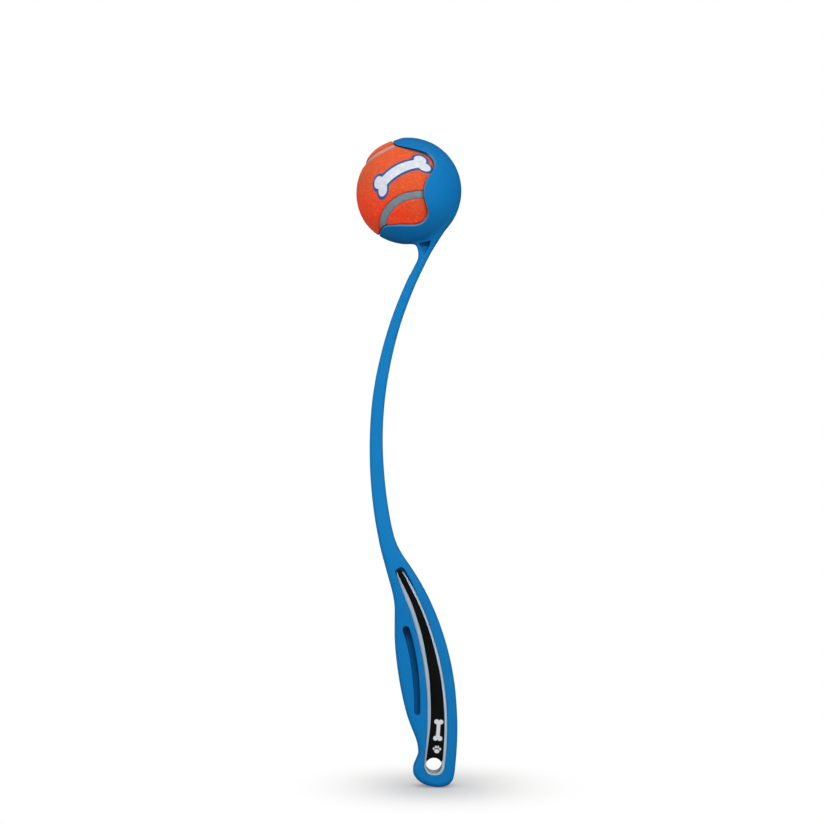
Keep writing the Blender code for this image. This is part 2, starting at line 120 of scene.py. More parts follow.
STRIP_FRONT = (
    (51.0, -11.5), (48.7, -10.1), (44.6, -8.0), (40.4, -5.9), (36.3, -3.8),
    (30.1, -1.1), (21.8, 2.05), (13.5, 4.6), (5.2, 6.7), (-3.1, 8.45),
    (-11.4, 9.6), (-19.7, 10.3), (-28.0, 10.6), (-36.3, 10.4), (-44.6, 9.85),
    (-47.6, 9.6),
)
RECESS_FLOOR_Y = 4.6
HOLE_X, HOLE_Z = 5.1, -49.9
HOLE_R, LINING_R, BORE_R = 4.2, 4.75, 5.0
GROOVE = ((-9.3, 20.8), (-6.9, 12.4), (-4.8, 0.4), (-3.7, -12.0), (-3.5, -22.0))
GROOVE_WIDTH = (3.6, 3.0)
GROOVE_FLOOR_Y = 2.9

BALL_SHIFT = 0.5
SEAM_SHAPE = 0.216
BALL_TURN_DEG = (63.0, 104.0, 16.5)
SPINE_HALF_DEG = 106.0
FELT_R = 25.35  # felt under the cup
FELT_PROUD = (0.42, 1.55)  # and this much more beside the cup, and in its mouth
SEAM_HALF = 1.95


# ---------------------------------------------------------------------------
# curves and outlines
# ---------------------------------------------------------------------------
def read(stations, at):
    """Smooth curve through (key, value) stations with rising keys."""
    k = np.array([s[0] for s in stations], float)
    v = np.array([s[1] for s in stations], float)
    m = np.empty_like(v)
    m[1:-1] = (v[2:] - v[:-2]) / (k[2:] - k[:-2])
    m[0] = (v[1] - v[0]) / (k[1] - k[0])
    m[-1] = (v[-1] - v[-2]) / (k[-1] - k[-2])
    at = np.clip(np.asarray(at, float), k[0], k[-1])
    i = np.clip(np.searchsorted(k, at, side="right") - 1, 0, len(k) - 2)
    h = k[i + 1] - k[i]
    t = (at - k[i]) / h
    return (
        (2 * t**3 - 3 * t**2 + 1) * v[i]
        + (t**3 - 2 * t**2 + t) * h * m[i]
        + (-2 * t**3 + 3 * t**2) * v[i + 1]
        + (t**3 - t**2) * h * m[i + 1]
    )


def edge(stations, z):
    return read(stations[::-1], z)


def ease(t):
    t = np.clip(t, 0.0, 1.0)
    return t * t * (3 - 2 * t)


def smoothed(values, step, sigma):
    """Values along a line, averaged with a width that changes along it."""
    n = len(values)
    out = np.empty(n)
    for i in range(n):
        s = max(sigma[i], 1e-3)
        r = int(min(3 * s / step, i, n - 1 - i))
        j = np.arange(i - r, i + r + 1)
        w = np.exp(-0.5 * ((j - i) * step / s) ** 2)
        out[i] = (values[j] * w).sum() / w.sum()
    return out


def body_outline():
    """The closed profile of wand and grip, with long runs made fair."""
    step = 0.4
    z = np.arange(-61.0, 239.5, step)
    sigma = 0.35 + 3.2 * ease((z - 60) / 15) * ease((206 - z) / 10)
    sigma += 1.6 * ease((z + 33) / 12) * ease((60 - z) / 10)
    back = smoothed(read([(s[0], s[1]) for s in PROFILE], z), step, sigma)
    front = smoothed(read([(s[0], s[2]) for s in PROFILE], z), step, sigma)
    down = np.stack([back, z], 1)[::-1]
    up = np.stack([front, z], 1)
    return np.concatenate([down, up])


SIDE_N, END_N, TIP_N = 150, 40, 14


def label_loop(back, front, z_top, z_end, tip, end_r, square):
    """The tray's or strip's outline: down the back edge, round the end, up the
    front edge, over the tip. Loops made this way match point for point."""
    # closer points near the tip, where the outline is narrow
    zs = z_top + (z_end - z_top) * np.linspace(0, 1, SIDE_N + 1) ** 1.15
    parts = [np.stack([edge(back, zs), zs], 1)]
    a, b = edge(back, z_end), edge(front, z_end)
    q = math.pi + math.pi * np.arange(1, END_N) / END_N
    parts.append(
        np.stack(
            [
                (a + b) / 2 + (b - a) / 2 * np.sign(np.cos(q)) * np.abs(np.cos(q)) ** square,
                z_end - end_r * np.abs(np.sin(q)) ** square,
            ], 1,
        )
    )
    parts.append(np.stack([edge(front, zs[::-1]), zs[::-1]], 1))
    a, b = edge(back, z_top), edge(front, z_top)
    q = math.pi * np.arange(1, TIP_N) / TIP_N
    parts.append(
        np.stack([(a + b) / 2 + (b - a) / 2 * np.cos(q), z_top + tip * np.sin(q)], 1)
    )
    return np.concatenate(parts)


def loop_normals(loop):
    d = np.roll(loop, -1, 0) - np.roll(loop, 1, 0)
    n = np.stack([d[:, 1], -d[:, 0]], 1)
    n /= np.maximum(np.linalg.norm(n, axis=1), 1e-9)[:, None]
    x, z = loop.T
    area = (x * np.roll(z, -1) - np.roll(x, -1) * z).sum()
    return n if area > 0 else -n


def offset(loop, by):
    """The loop moved out by a distance, or by one for each of its points."""
    return loop + loop_normals(loop) * np.broadcast_to(by, len(loop))[:, None]


TRAY_LOOP = label_loop(TRAY_BACK, TRAY_FRONT, 51.1, -49.0, 0.9, 5.9, 0.86)
STRIP_LOOP = label_loop(STRIP_BACK, STRIP_FRONT, 51.0, -46.6, 0.7, 1.7, 1.0)


def recess_outline():
    """The tray's seat: it opens wider round the tip and down the front edge."""
    x, z = TRAY_LOOP.T
    middle = (edge(TRAY_BACK, z) + edge(TRAY_FRONT, z)) / 2
    front = ease((x - middle) / 1.2 + 0.5)
    tip = ease((z - 48.2) / 2.4)
    gap = 0.08 + 0.85 * front * ease((z - 38) / 11) + (0.55 - 0.15 * front) * tip
    return offset(TRAY_LOOP, gap)


def groove_outline():
    """A slot with round ends that follows the grip's back edge."""
    steps, around = 60, 16
    t = np.linspace(0, len(GROOVE) - 1, steps + 1)
    xs = [(j, p[0]) for j, p in enumerate(GROOVE)]
    zs = [(j, p[1]) for j, p in enumerate(GROOVE)]
    c = np.stack([read(xs, t), read(zs, t)], 1)
    d = np.gradient(c, axis=0)
    d /= np.linalg.norm(d, axis=1)[:, None]
    n = np.stack([-d[:, 1], d[:, 0]], 1)
    r = np.linspace(GROOVE_WIDTH[0], GROOVE_WIDTH[1], steps + 1)[:, None] / 2
    q = (np.pi * np.arange(1, around) / around)[:, None]
    far = c[-1] + r[-1] * (n[-1] * np.cos(q) + d[-1] * np.sin(q))
    near = c[0] + r[0] * (-n[0] * np.cos(q) - d[0] * np.sin(q))
    return np.concatenate([c + n * r, far, (c - n * r)[::-1], near])


class Field:
    """Signed distance to a closed outline in the profile plane, kept on a fine
    grid and read between its samples. Negative inside."""

    def __init__(self, outline, margin=6.0, step=0.2):
        self.lo = outline.min(0) - margin
        self.step = step
        nx, nz = np.ceil((outline.max(0) + margin - self.lo) / step).astype(int) + 1
        xs = self.lo[0] + step * np.arange(nx)
        zs = self.lo[1] + step * np.arange(nz)
        a, b = outline, np.roll(outline, -1, 0)
        self.v = np.full((nx, nz), margin)
        rows = 20
        for k in range(0, nz, rows):
            z = zs[k : k + rows]
            near = (np.maximum(a[:, 1], b[:, 1]) > z[0] - margin) & (
                np.minimum(a[:, 1], b[:, 1]) < z[-1] + margin
            )
            p, q = a[near], b[near]
            if not len(p):
                continue
            gx, gz = np.meshgrid(xs, z, indexing="ij")
            pts = np.stack([gx.ravel(), gz.ravel()], 1)
            d = q - p
            length = np.maximum((d**2).sum(1), 1e-12)
            rel = pts[:, None, :] - p[None]
            t = np.clip((rel * d).sum(2) / length, 0, 1)
            away = rel - t[..., None] * d
            dist = np.sqrt((away**2).sum(2).min(1))
            spans = (p[:, 1] > pts[:, None, 1]) != (q[:, 1] > pts[:, None, 1])
            with np.errstate(divide="ignore", invalid="ignore"):
                cut = p[:, 0] + (pts[:, None, 1] - p[:, 1]) * d[:, 0] / np.where(
                    d[:, 1] == 0, 1e-12, d[:, 1]
                )
            inside = (spans & (pts[:, None, 0] < cut)).sum(1) % 2 == 1
            self.v[:, k : k + rows] = np.where(inside, -dist, dist).reshape(gx.shape)
        self.v = np.clip(self.v, -margin, margin)

    def __call__(self, x, z):
        u = (x - self.lo[0]) / self.step
        w = (z - self.lo[1]) / self.step
        nx, nz = self.v.shape
        u, w = np.clip(u, 0, nx - 1.001), np.clip(w, 0, nz - 1.001)
        i, j = u.astype(int), w.astype(int)
        u, w = u - i, w - j
        v = self.v
        return (
            v[i, j] * (1 - u) * (1 - w) + v[i + 1, j] * u * (1 - w)
            + v[i, j + 1] * (1 - u) * w + v[i + 1, j + 1] * u * w
        )


def soft_min(a, b, k):
    h = np.maximum(k - np.abs(a - b), 0) / k
    return np.minimum(a, b) - h * h * k / 4


def soft_max(a, b, k):
    return -soft_min(-a, -b, k)


# ---------------------------------------------------------------------------
# the thrower's body as a distance field
# ---------------------------------------------------------------------------
TILT = math.radians(MOUTH_TILT_DEG)
MOUTH_OUT = np.array((-math.cos(TILT), 0, math.sin(TILT)))
MOUTH_UP = np.array((math.sin(TILT), 0, math.cos(TILT)))
MOUTH_SIDE = np.array((0.0, -1.0, 0.0))


class Rim:
    """Distance along the sphere from the cup's rim, positive in the mouth. It
    is kept for a quarter of the cup, which its two mirror planes repeat."""

    def __init__(self):
        phi = np.radians(np.linspace(-30, 120, 6001))
        deg = np.degrees(phi)
        folded = np.abs(deg)
        folded = np.minimum(folded, 180 - folded)
        theta = np.radians(read(CUP_RIM_DEG, folded))
        curve = self.point(phi, theta)
        along = np.gradient(curve, axis=0)
        length = np.concatenate([[0], np.cumsum(np.linalg.norm(np.diff(curve, axis=0), axis=1))])
        even = np.linspace(0, length[-1], 1800)
        curve = np.stack([np.interp(even, length, curve[:, i]) for i in range(3)], 1)
        # a light smoothing takes the corners between stations out
        for _ in range(30):
            curve[1:-1] = (curve[:-2] + 2 * curve[1:-1] + curve[2:]) / 4
        curve /= np.linalg.norm(curve, axis=1)[:, None]
        along = np.gradient(curve, axis=0)
        across = np.cross(curve, along)
        across /= np.linalg.norm(across, axis=1)[:, None]
        if across[len(across) // 2] @ np.array((0, 0, 1.0)) < 0:
            across = -across
        self.step = 0.5
        p, t = np.meshgrid(
            np.radians(np.arange(0, 90.1, self.step)),
            np.radians(np.arange(0, 180.1, self.step)), indexing="ij",
        )
        d = self.point(p.ravel(), t.ravel())
        nearest = np.concatenate(
            [(d[i : i + 4000] @ curve.T).argmax(1) for i in range(0, len(d), 4000)]
        )
        off = np.arcsin(np.clip((d * across[nearest]).sum(1), -1, 1))
        self.v = (off * CUP_OUTER_R).reshape(p.shape)

    @staticmethod
    def point(phi, theta):
        return np.stack(
            [np.sin(theta) * np.cos(phi), np.sin(theta) * np.sin(phi), np.cos(theta)], 1
        )

    def __call__(self, up, side, out):
        phi = np.degrees(np.arctan2(np.abs(side), np.abs(up)))
        theta = np.degrees(np.arctan2(np.hypot(up, side), out))
        u, w = phi / self.step, theta / self.step
        nx, nz = self.v.shape
        u, w = np.clip(u, 0, nx - 1.001), np.clip(w, 0, nz - 1.001)
        i, j = u.astype(int), w.astype(int)
        u, w = u - i, w - j
        v = self.v
        return (
            v[i, j] * (1 - u) * (1 - w) + v[i + 1, j] * u * (1 - w)
            + v[i, j + 1] * (1 - u) * w + v[i + 1, j + 1] * u * w
        )


rim = Rim()
profile = Field(body_outline())
recess = Field(recess_outline(), 3.0)
groove = Field(groove_outline(), 3.0)
# the pocket between the neck's two ribs, just under the cup
pocket = Field(
    np.array([(-2.6, 221.5), (3.4, 222.6), (2.7, 220.2), (0.5, 216.3), (-0.1, 216.3), (-1.5, 219.1)]),
    3.0,
)


def cup_distance(p):
    rel = p - CUP_CENTRE
    dist = np.linalg.norm(rel, axis=1)
    up, side = rel @ MOUTH_UP, rel @ MOUTH_SIDE
    s = rim(up, side, rel @ MOUTH_OUT)
    # the upper finger thins out to its tip, where it nearly meets the ball
    finger = ease((np.abs(up) / np.maximum(np.hypot(up, side), 1e-6) - 0.7) / 0.25)
    thin = np.where(up > 0, TIP_THIN, -0.12)
    outer = CUP_OUTER_R - thin * finger * ease(1 + s / 6.0)
    inner = CUP_OUTER_R - CUP_WALL
    a = np.abs(dist - (outer + inner) / 2) - ((outer - inner) / 2 - RIM_ROUND)
    b = s + RIM_ROUND
    shell = (
        np.minimum(np.maximum(a, b), 0)
        + np.hypot(np.maximum(a, 0), np.maximum(b, 0))
        - RIM_ROUND
    )
    return shell, dist


def body_distance(p):
    x, y, z = p[:, 0], np.abs(p[:, 1]), p[:, 2]
    grip = ease((WAND_LOW_Z - z) / (WAND_LOW_Z - GRIP_TOP_Z))
    half = np.where(
        z < WAND_LOW_Z,
        WAND_HALF_T + (GRIP_HALF_T - WAND_HALF_T) * grip,
        WAND_HALF_T + (NECK_HALF_T - WAND_HALF_T) * ease((z - 170) / 45),
    )
    r = EDGE_ROUND_WAND + (EDGE_ROUND_GRIP - EDGE_ROUND_WAND) * grip
    a, b = profile(x, z) + r, y - half + r
    wand = np.minimum(np.maximum(a, b), 0) + np.hypot(np.maximum(a, 0), np.maximum(b, 0)) - r

    high = z > 205
    if high.any():
        ph, yh, zh = p[high], y[high], z[high]
        xh = ph[:, 0]
        shell, dist = cup_distance(ph)
        # the neck flows into the cup: tightly at its inner corner, broadly
        # along its back, and never past the outline it has in profile
        w = soft_min(shell, wand[high], 1.7 + 5.3 * ease((xh + 1.5) / 6))
        ring = np.hypot(xh - CUP_CENTRE[0], zh - CUP_CENTRE[2]) - CUP_OUTER_R
        outline = soft_min(ring, profile(xh, zh), 0.4)
        w = soft_max(w, outline, 0.02 + 0.5 * ease((241 - zh) / 4) * ease((xh + 12) / 4))
        deep = np.clip((zh - 215.8) / 6.0, 0, 1) ** 0.85
        floor = 5.0 - 3.7 * deep * (0.7 + 0.3 * ease((xh + 2.6) / 4.0))
        dent = soft_max(pocket(xh, zh), floor - yh, 0.5)
        w = soft_max(w, -dent, 0.45)
        # the cup's inside stays a clean sphere
        wand[high] = np.maximum(w, CUP_OUTER_R - CUP_WALL - dist)
    low = z < 62
    if low.any():
        xl, yl, zl = x[low], y[low], z[low]
        w = wand[low]
        seat = soft_max(recess(xl, zl), RECESS_FLOOR_Y - yl, 0.3)
        w = soft_max(w, -seat, 0.35)
        # deepest at its upper end
        bed = GROOVE_FLOOR_Y + 0.5 - 0.5 * ease((zl + 10) / 10) - 1.5 * ease((zl - 12.0) / 8.0)
        slot = soft_max(groove(xl, zl), bed - yl, 0.8)
        w = soft_max(w, -slot, 0.55)
        bore = np.hypot(xl - HOLE_X, zl - HOLE_Z) - BORE_R
        wand[low] = soft_max(w, -bore, 0.3)
    return wand


def surface_net(xs, ys, zs, f):
    """Vertices and quads of the surface f = 0 over a box grid."""
    nx, ny, nz = f.shape
    s = f < 0
    total = np.zeros((nx - 1, ny - 1, nz - 1), np.uint8)
    for i in (0, 1):
        for j in (0, 1):
            for k in (0, 1):
                total += s[i : nx - 1 + i, j : ny - 1 + j, k : nz - 1 + k]
    mixed = (total > 0) & (total < 8)
    ci, cj, ck = np.nonzero(mixed)
    index = np.full(mixed.shape, -1, np.int64)
    index[mixed] = np.arange(len(ci))
    acc, count = np.zeros((len(ci), 3)), np.zeros(len(ci))
    corners = [(i, j, k) for i in (0, 1) for j in (0, 1) for k in (0, 1)]
    for a in corners:
        for axis in range(3):
            if a[axis]:
                continue
            b = tuple(1 if q == axis else a[q] for q in range(3))
            fa = f[ci + a[0], cj + a[1], ck + a[2]]
            fb = f[ci + b[0], cj + b[1], ck + b[2]]
            hit = (fa < 0) != (fb < 0)
            t = (fa[hit] / (fa[hit] - fb[hit]))[:, None]
            pa = np.stack([xs[ci[hit] + a[0]], ys[cj[hit] + a[1]], zs[ck[hit] + a[2]]], 1)
            pb = np.stack([xs[ci[hit] + b[0]], ys[cj[hit] + b[1]], zs[ck[hit] + b[2]]], 1)
            acc[hit] += pa + t * (pb - pa)
            count[hit] += 1
    verts = acc / count[:, None]
    quads = []
    for axis in range(3):
        lo = [slice(1, n - 1) for n in (nx, ny, nz)]
        lo[axis] = slice(0, (nx, ny, nz)[axis] - 1)
        hi = list(lo)
        hi[axis] = slice(1, (nx, ny, nz)[axis])
        sa, sb = s[tuple(lo)], s[tuple(hi)]
        i, j, k = np.nonzero(sa != sb)
        inside = sa[i, j, k]
        base = np.stack([i, j, k], 1) + np.array([0 if q == axis else 1 for q in range(3)])
        u, v = [q for q in range(3) if q != axis]
        if axis == 1:
            u, v = v, u
        eu, ev = np.eye(3, dtype=int)[u], np.eye(3, dtype=int)[v]
        ring = [base - eu - ev, base - ev, base, base - eu]
        q = np.stack([index[tuple(r.T)] for r in ring], 1)
        q[~inside] = q[~inside][:, ::-1]
        quads.append(q)
    return verts, np.concatenate(quads)


def gradient(distance, p, h=0.15):
    g = np.empty_like(p)
    for i in range(3):
        step = np.zeros(3)
        step[i] = h
        g[:, i] = (distance(p + step) - distance(p - step)) / (2 * h)
    return g


def settle(distance, verts, pairs, rounds):
    """Evens the mesh out along its edges and keeps it on the surface."""
    a, b = pairs.T
    n = len(verts)
    degree = np.bincount(a, minlength=n) + np.bincount(b, minlength=n)
    for k in range(rounds + 1):
        g = gradient(distance, verts, 0.05)
        g2 = np.maximum((g**2).sum(1), 0.15)
        move = distance(verts)[:, None] * g / g2[:, None]
        far = np.linalg.norm(move, axis=1)
        move *= np.minimum(1, 0.3 / np.maximum(far, 1e-9))[:, None]
        verts = verts - move
        if k == rounds:
            break
        mean = np.stack(
            [
                np.bincount(a, verts[b, i], n) + np.bincount(b, verts[a, i], n)
                for i in range(3)
            ], 1,
        ) / degree[:, None]
        verts = verts + 0.5 * (mean - verts)
    return verts


def refined(distance, verts, quads, angle):
    """The mesh with its faces split in four where the surface turns tightly."""
    n = unit(gradient(distance, verts, 0.1))
    c = n[quads]
    turn = np.min([(c[:, i] * c[:, j]).sum(1) for i in range(4) for j in range(i)], axis=0)
    touched = np.zeros(len(verts), bool)
    touched[quads[turn < math.cos(math.radians(angle))]] = True
    pick = np.nonzero(touched[quads].any(1))[0]
    me = bpy.data.meshes.new("rough")
    me.from_pydata(verts.tolist(), [], quads.tolist())
    bm = bmesh.new()
    bm.from_mesh(me)
    bpy.data.meshes.remove(me)
    bm.faces.ensure_lookup_table()
    edges = sorted({e.index for i in pick for e in bm.faces[i].edges})
    bm.edges.ensure_lookup_table()
    bmesh.ops.subdivide_edges(
        bm, edges=[bm.edges[i] for i in edges], cuts=1, use_grid_fill=True
    )
    bm.verts.index_update()
    verts = np.array([v.co[:] for v in bm.verts])
    pairs = np.array([(e.verts[0].index, e.verts[1].index) for e in bm.edges])
    faces = [[v.index for v in f.verts] for f in bm.faces]
    bm.free()
    return settle(distance, verts, pairs, 2), faces


def new_mesh(name, verts_mm, faces, normals=None, material=None):
    """A smooth mesh object in metres. Quads as one array, or a list of faces."""
    me = bpy.data.meshes.new(name)
    verts = np.asarray(verts_mm, np.float64) * MM
    if isinstance(faces, np.ndarray):
        me.vertices.add(len(verts))
        me.vertices.foreach_set("co", verts.astype(np.float32).ravel())
        n, k = faces.shape
        me.loops.add(n * k)
        me.loops.foreach_set("vertex_index", faces.astype(np.int32).ravel())
        me.polygons.add(n)
        me.polygons.foreach_set("loop_start", np.arange(0, n * k, k, dtype=np.int32))
        me.update(calc_edges=True)
        me.validate()
    else:
        me.from_pydata([tuple(v) for v in verts], [], faces)
        me.update()
    me.polygons.foreach_set("use_smooth", np.ones(len(me.polygons), bool))
    if normals is not None:
        me.normals_split_custom_set_from_vertices([tuple(v) for v in normals])
    o = bpy.data.objects.new(name, me)
    bpy.context.scene.collection.objects.link(o)
    if material:
        me.materials.append(material)
    return o


def build_body(material):
    h = 0.7
    xs = np.arange(-38.0, 22.01, h)
    ys = (np.arange(84) - 41.5) * h
    zs = np.concatenate([
        np.arange(-63.0, 62.0, h), np.arange(62.4, 208.0, 1.0), np.arange(208.2, 280.1, h),
    ])
    f = np.full((len(xs), len(ys), len(zs)), 4.0)
    upper = ys > 0

    def fill(mx, my, mz):
        """Half the grid in Y, and its mirror image."""
        ix, iy, iz = np.nonzero(mx)[0], np.nonzero(my & upper)[0], np.nonzero(mz)[0]
        gx, gy, gz = np.meshgrid(xs[ix], ys[iy], zs[iz], indexing="ij")
        p = np.stack([gx.ravel(), gy.ravel(), gz.ravel()], 1)
        v = np.concatenate([body_distance(p[i : i + 400000]) for i in range(0, len(p), 400000)])
        v = v.reshape(gx.shape)
        f[np.ix_(ix, iy, iz)] = v
        f[np.ix_(ix, len(ys) - 1 - iy, iz)] = v

    fill(xs > -999, ys < 999, zs > 206)
    fill(xs < 4, ys < 9, (zs > 60) & (zs <= 206))
    fill(xs > -26, ys < 9, zs <= 60)
    verts, quads = surface_net(xs, ys, zs, f)
    pairs = np.concatenate([quads[:, [i, (i + 1) % 4]] for i in range(4)])
    verts = settle(body_distance, verts, pairs, 4)
    verts, faces = refined(body_distance, verts, quads, 29)
    normals = unit(gradient(body_distance, verts, 0.12))
    print(f"thrower_body: {len(quads)} quads, {sum(len(q) - 2 for q in faces)} triangles when split")
    o = new_mesh("thrower_moulding", verts, faces, normals, material)
    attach(o, "thrower")
    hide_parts("thrower_body")
    return o


# ---------------------------------------------------------------------------
# trays and strips
# ---------------------------------------------------------------------------
def lofted(loops, sign):
    """A closed solid from matching loops of (outline, y), first cap to last."""
    verts, faces = [], []
    n = len(loops[0][0])
    for outline, y in loops:
        y = np.broadcast_to(y, n)
        verts += [(x, sign * h, z) for (x, z), h in zip(outline, y)]
    for k in range(len(loops) - 1):
        for i in range(n):
            j = (i + 1) % n
            faces.append((k * n + i, k * n + j, (k + 1) * n + j, (k + 1) * n + i))
    faces.append(tuple(range(n)))
    faces.append(tuple((len(loops) - 1) * n + i for i in reversed(range(n))))
    return verts, faces


def fix_normals(o):
    bm = bmesh.new()
    bm.from_mesh(o.data)
    bmesh.ops.recalc_face_normals(bm, faces=bm.faces)
    bm.to_mesh(o.data)
    bm.free()


def bar(radius, y0, y1, steps=96):
    """A round bar along Y through the hang hole."""
    q = 2 * np.pi * np.arange(steps) / steps
    ring = np.stack([HOLE_X + radius * np.cos(q), HOLE_Z + radius * np.sin(q)], 1)
    verts, faces = lofted([(ring, y0), (ring, y1)], 1)
    o = new_mesh("bar", verts, faces)
    fix_normals(o)
    return o


def cut(o, tool, operation):
    m = o.modifiers.new("cut", "BOOLEAN")
    m.operation, m.solver, m.object = operation, "EXACT", tool
    bpy.context.view_layer.update()
    made = bpy.data.meshes.new_from_object(
        o.evaluated_get(bpy.context.evaluated_depsgraph_get())
    )
    o.modifiers.clear()
    old = o.data
    o.data = made
    bpy.data.meshes.remove(old)
    bpy.data.objects.remove(tool, do_unlink=True)


def bevelled(o, width, segments, angle):
    """Rounds the edges sharper than an angle and shades what is left of them."""
    m = o.modifiers.new("bevel", "BEVEL")
    m.width, m.segments = width * MM, segments
    m.limit_method, m.angle_limit = "ANGLE", math.radians(angle)
    m.harden_normals = False
    bpy.context.view_layer.update()
    made = bpy.data.meshes.new_from_object(
        o.evaluated_get(bpy.context.evaluated_depsgraph_get())
    )
    o.modifiers.clear()
    old = o.data
    o.data = made
    bpy.data.meshes.remove(old)
    for p in o.data.polygons:
        p.use_smooth = True


def build_tray(sign, side, material):
    """Silver tray: a band that slopes up from its seat to a crest beside the
    strip, a pocket for the strip, and half of the hang hole's lining."""
    seat = offset(STRIP_LOOP, 0.06)
    crest = offset(STRIP_LOOP, 0.42)
    # the crest never passes the tray's own edge where the band is narrow
    inner = offset(TRAY_LOOP, -0.3)
    room = np.einsum("ij,ij->i", inner - crest, loop_normals(STRIP_LOOP))
    crest = crest + loop_normals(STRIP_LOOP) * np.minimum(room, 0)[:, None]
    mid = (inner + crest) / 2
    loops = [
        (offset(TRAY_LOOP, -0.15), 4.9),
        (TRAY_LOOP, 5.05),
        (TRAY_LOOP, 6.02),
        (offset(TRAY_LOOP, -0.06), 6.16),
        (offset(TRAY_LOOP, -0.2), 6.25),
        (inner, 6.33),
        (mid, 6.52),
        (crest, 6.69),
        ((2 * crest + seat) / 3, 6.76),
        ((crest + 2 * seat) / 3, 6.77),
        (seat + (crest - seat) * 0.1, 6.70),
        (seat, 6.56),
        (offset(STRIP_LOOP, 0.05), 5.7),
    ]
    # its tip dips to the bottom of the recess
    loops = [
        (q, 5.05 + (y - 5.05) * (1 - 0.96 * ease((q[:, 1] - 50.1) / 1.2)) if y > 5.8 else y)
        for q, y in loops
    ]
    verts, faces = lofted(loops, sign)
    o = new_mesh(f"grip_bezel_{side}_fine", verts, faces)
    fix_normals(o)
    cut(o, bar(LINING_R, sign * 0.12, sign * 5.3), "UNION")
    cut(o, bar(HOLE_R, -sign * 1.0, sign * 12.0), "DIFFERENCE")
    finish_small(o, material, 32)
    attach(o, "thrower")
    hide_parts(f"grip_bezel_{side}")
    return o


def build_strip(sign, side, material):
    loops = [
        (offset(STRIP_LOOP, -0.1), 5.78),
        (STRIP_LOOP, 5.86),
        (STRIP_LOOP, 6.24),
        (offset(STRIP_LOOP, -0.05), 6.33),
        (offset(STRIP_LOOP, -0.18), 6.4),
    ]
    loops = [
        (q, y - (0.3 * ease((q[:, 1] - 49.2) / 2.2) if y > 5.8 else 0)) for q, y in loops
    ]
    verts, faces = lofted(loops, sign)
    o = new_mesh(f"grip_inlay_{side}_fine", verts, faces)
    fix_normals(o)
    cut(o, bar(HOLE_R + 0.1, -sign * 1.0, sign * 12.0), "DIFFERENCE")
    finish_small(o, material, 32)
    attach(o, "thrower")
    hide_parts(f"grip_inlay_{side}")
    return o


def finish_small(o, material, angle):
    bm = bmesh.new()
    bm.from_mesh(o.data)
    bmesh.ops.remove_doubles(bm, verts=bm.verts, dist=1e-6)
    bmesh.ops.dissolve_degenerate(bm, edges=bm.edges, dist=1e-6)
    loose = [v for v in bm.verts if not v.link_faces]
    bmesh.ops.delete(bm, geom=loose, context="VERTS")
    bmesh.ops.recalc_face_normals(bm, faces=bm.faces)
    bm.to_mesh(o.data)
    bm.free()
    o.data.shade_smooth()
    o.data.set_sharp_from_angle(angle=math.radians(angle))
    o.data.materials.clear()
    o.data.materials.append(material)


# ---------------------------------------------------------------------------
# ball
# ---------------------------------------------------------------------------
BALL_CENTRE = CUP_CENTRE + MOUTH_OUT * BALL_SHIFT
_a, _b, _c = (math.radians(q) for q in BALL_TURN_DEG)
BALL_TURN = np.array(
    Matrix.Rotation(_a, 3, "Z") @ Matrix.Rotation(_b, 3, "Y") @ Matrix.Rotation(_c, 3, "Z")
)


def unit(v):
    return v / np.linalg.norm(v, axis=1)[:, None]


def seam_at(t):
    b = SEAM_SHAPE
    a = 1 - b
    return unit(
        np.stack(
            [
                a * np.cos(t) + b * np.cos(3 * t),
                a * np.sin(t) - b * np.sin(3 * t),
                2 * math.sqrt(a * b) * np.sin(2 * t),
            ], 1,
        )
    )


def seam_side(t):
    along = unit(seam_at(t + 1e-3) - seam_at(t - 1e-3))
    return unit(np.cross(seam_at(t), along))


def spine_at(tau, panel):
    q = -math.radians(SPINE_HALF_DEG) * np.sin(tau)
    s = np.sin(q) / math.sqrt(2)
    if panel == 0:
        return np.stack([s, -s, np.cos(q)], 1)
    return np.stack([s, s, -np.cos(q)], 1)


def slerp(a, b, t):
    w = np.arccos(np.clip((a * b).sum(1), -1, 1))[:, None]
    return (np.sin((1 - t) * w) * a + np.sin(t * w) * b) / np.sin(w)


def lumps(p, scale, seed):
    """Gentle lumps in space, about -1 to 1."""
    v = Vector((seed * 7.31, seed * 3.77, seed * 5.13))
    return np.array([noise.noise(Vector(q) * scale + v) for q in p.tolist()])


def swell(d):
    """How far the ball stands out past its size under the cup. Pinched there,
    it swells right at the fingers' tips, more on its low side."""
    d = d @ BALL_TURN.T
    out, up, side = d @ MOUTH_OUT, d @ MOUTH_UP, d @ MOUTH_SIDE
    s = rim(up * 26.6, side * 26.6, out * 26.6 + BALL_SHIFT)
    tips = ease((np.abs(up) / np.maximum(np.hypot(up, side), 1e-6) - 0.6) / 0.3)
    past = tips * ease((s + 0.25) / 1.2) + (1 - tips) * ease((out + 0.1) / 0.7)
    flat = 0.342 + 0.658 * np.minimum(np.sqrt(np.maximum(1 - out**2, 0)) / 0.743, 1)
    dent = np.radians(153.0)
    near = np.arccos(np.clip(d @ np.array((np.cos(dent), 0.0, np.sin(dent))), -1, 1))
    return (
        FELT_PROUD[0] * ease((out + 0.75) / 0.5)
        + past * flat * (FELT_PROUD[1] - 0.28 * up)
        - 1.36 * np.exp(-((near / np.radians(11.0)) ** 2))
    )


def felt_height(d):
    """Radius of the felt's surface in a direction from the ball's middle, in
    the ball's own frame before it is turned."""
    r = FELT_R + swell(d)
    p = d * 25.5
    r = r + 0.055 * lumps(p, 0.55, 1) + 0.05 * lumps(p, 1.3, 2) + 0.03 * lumps(p, 2.6, 3)
    return r


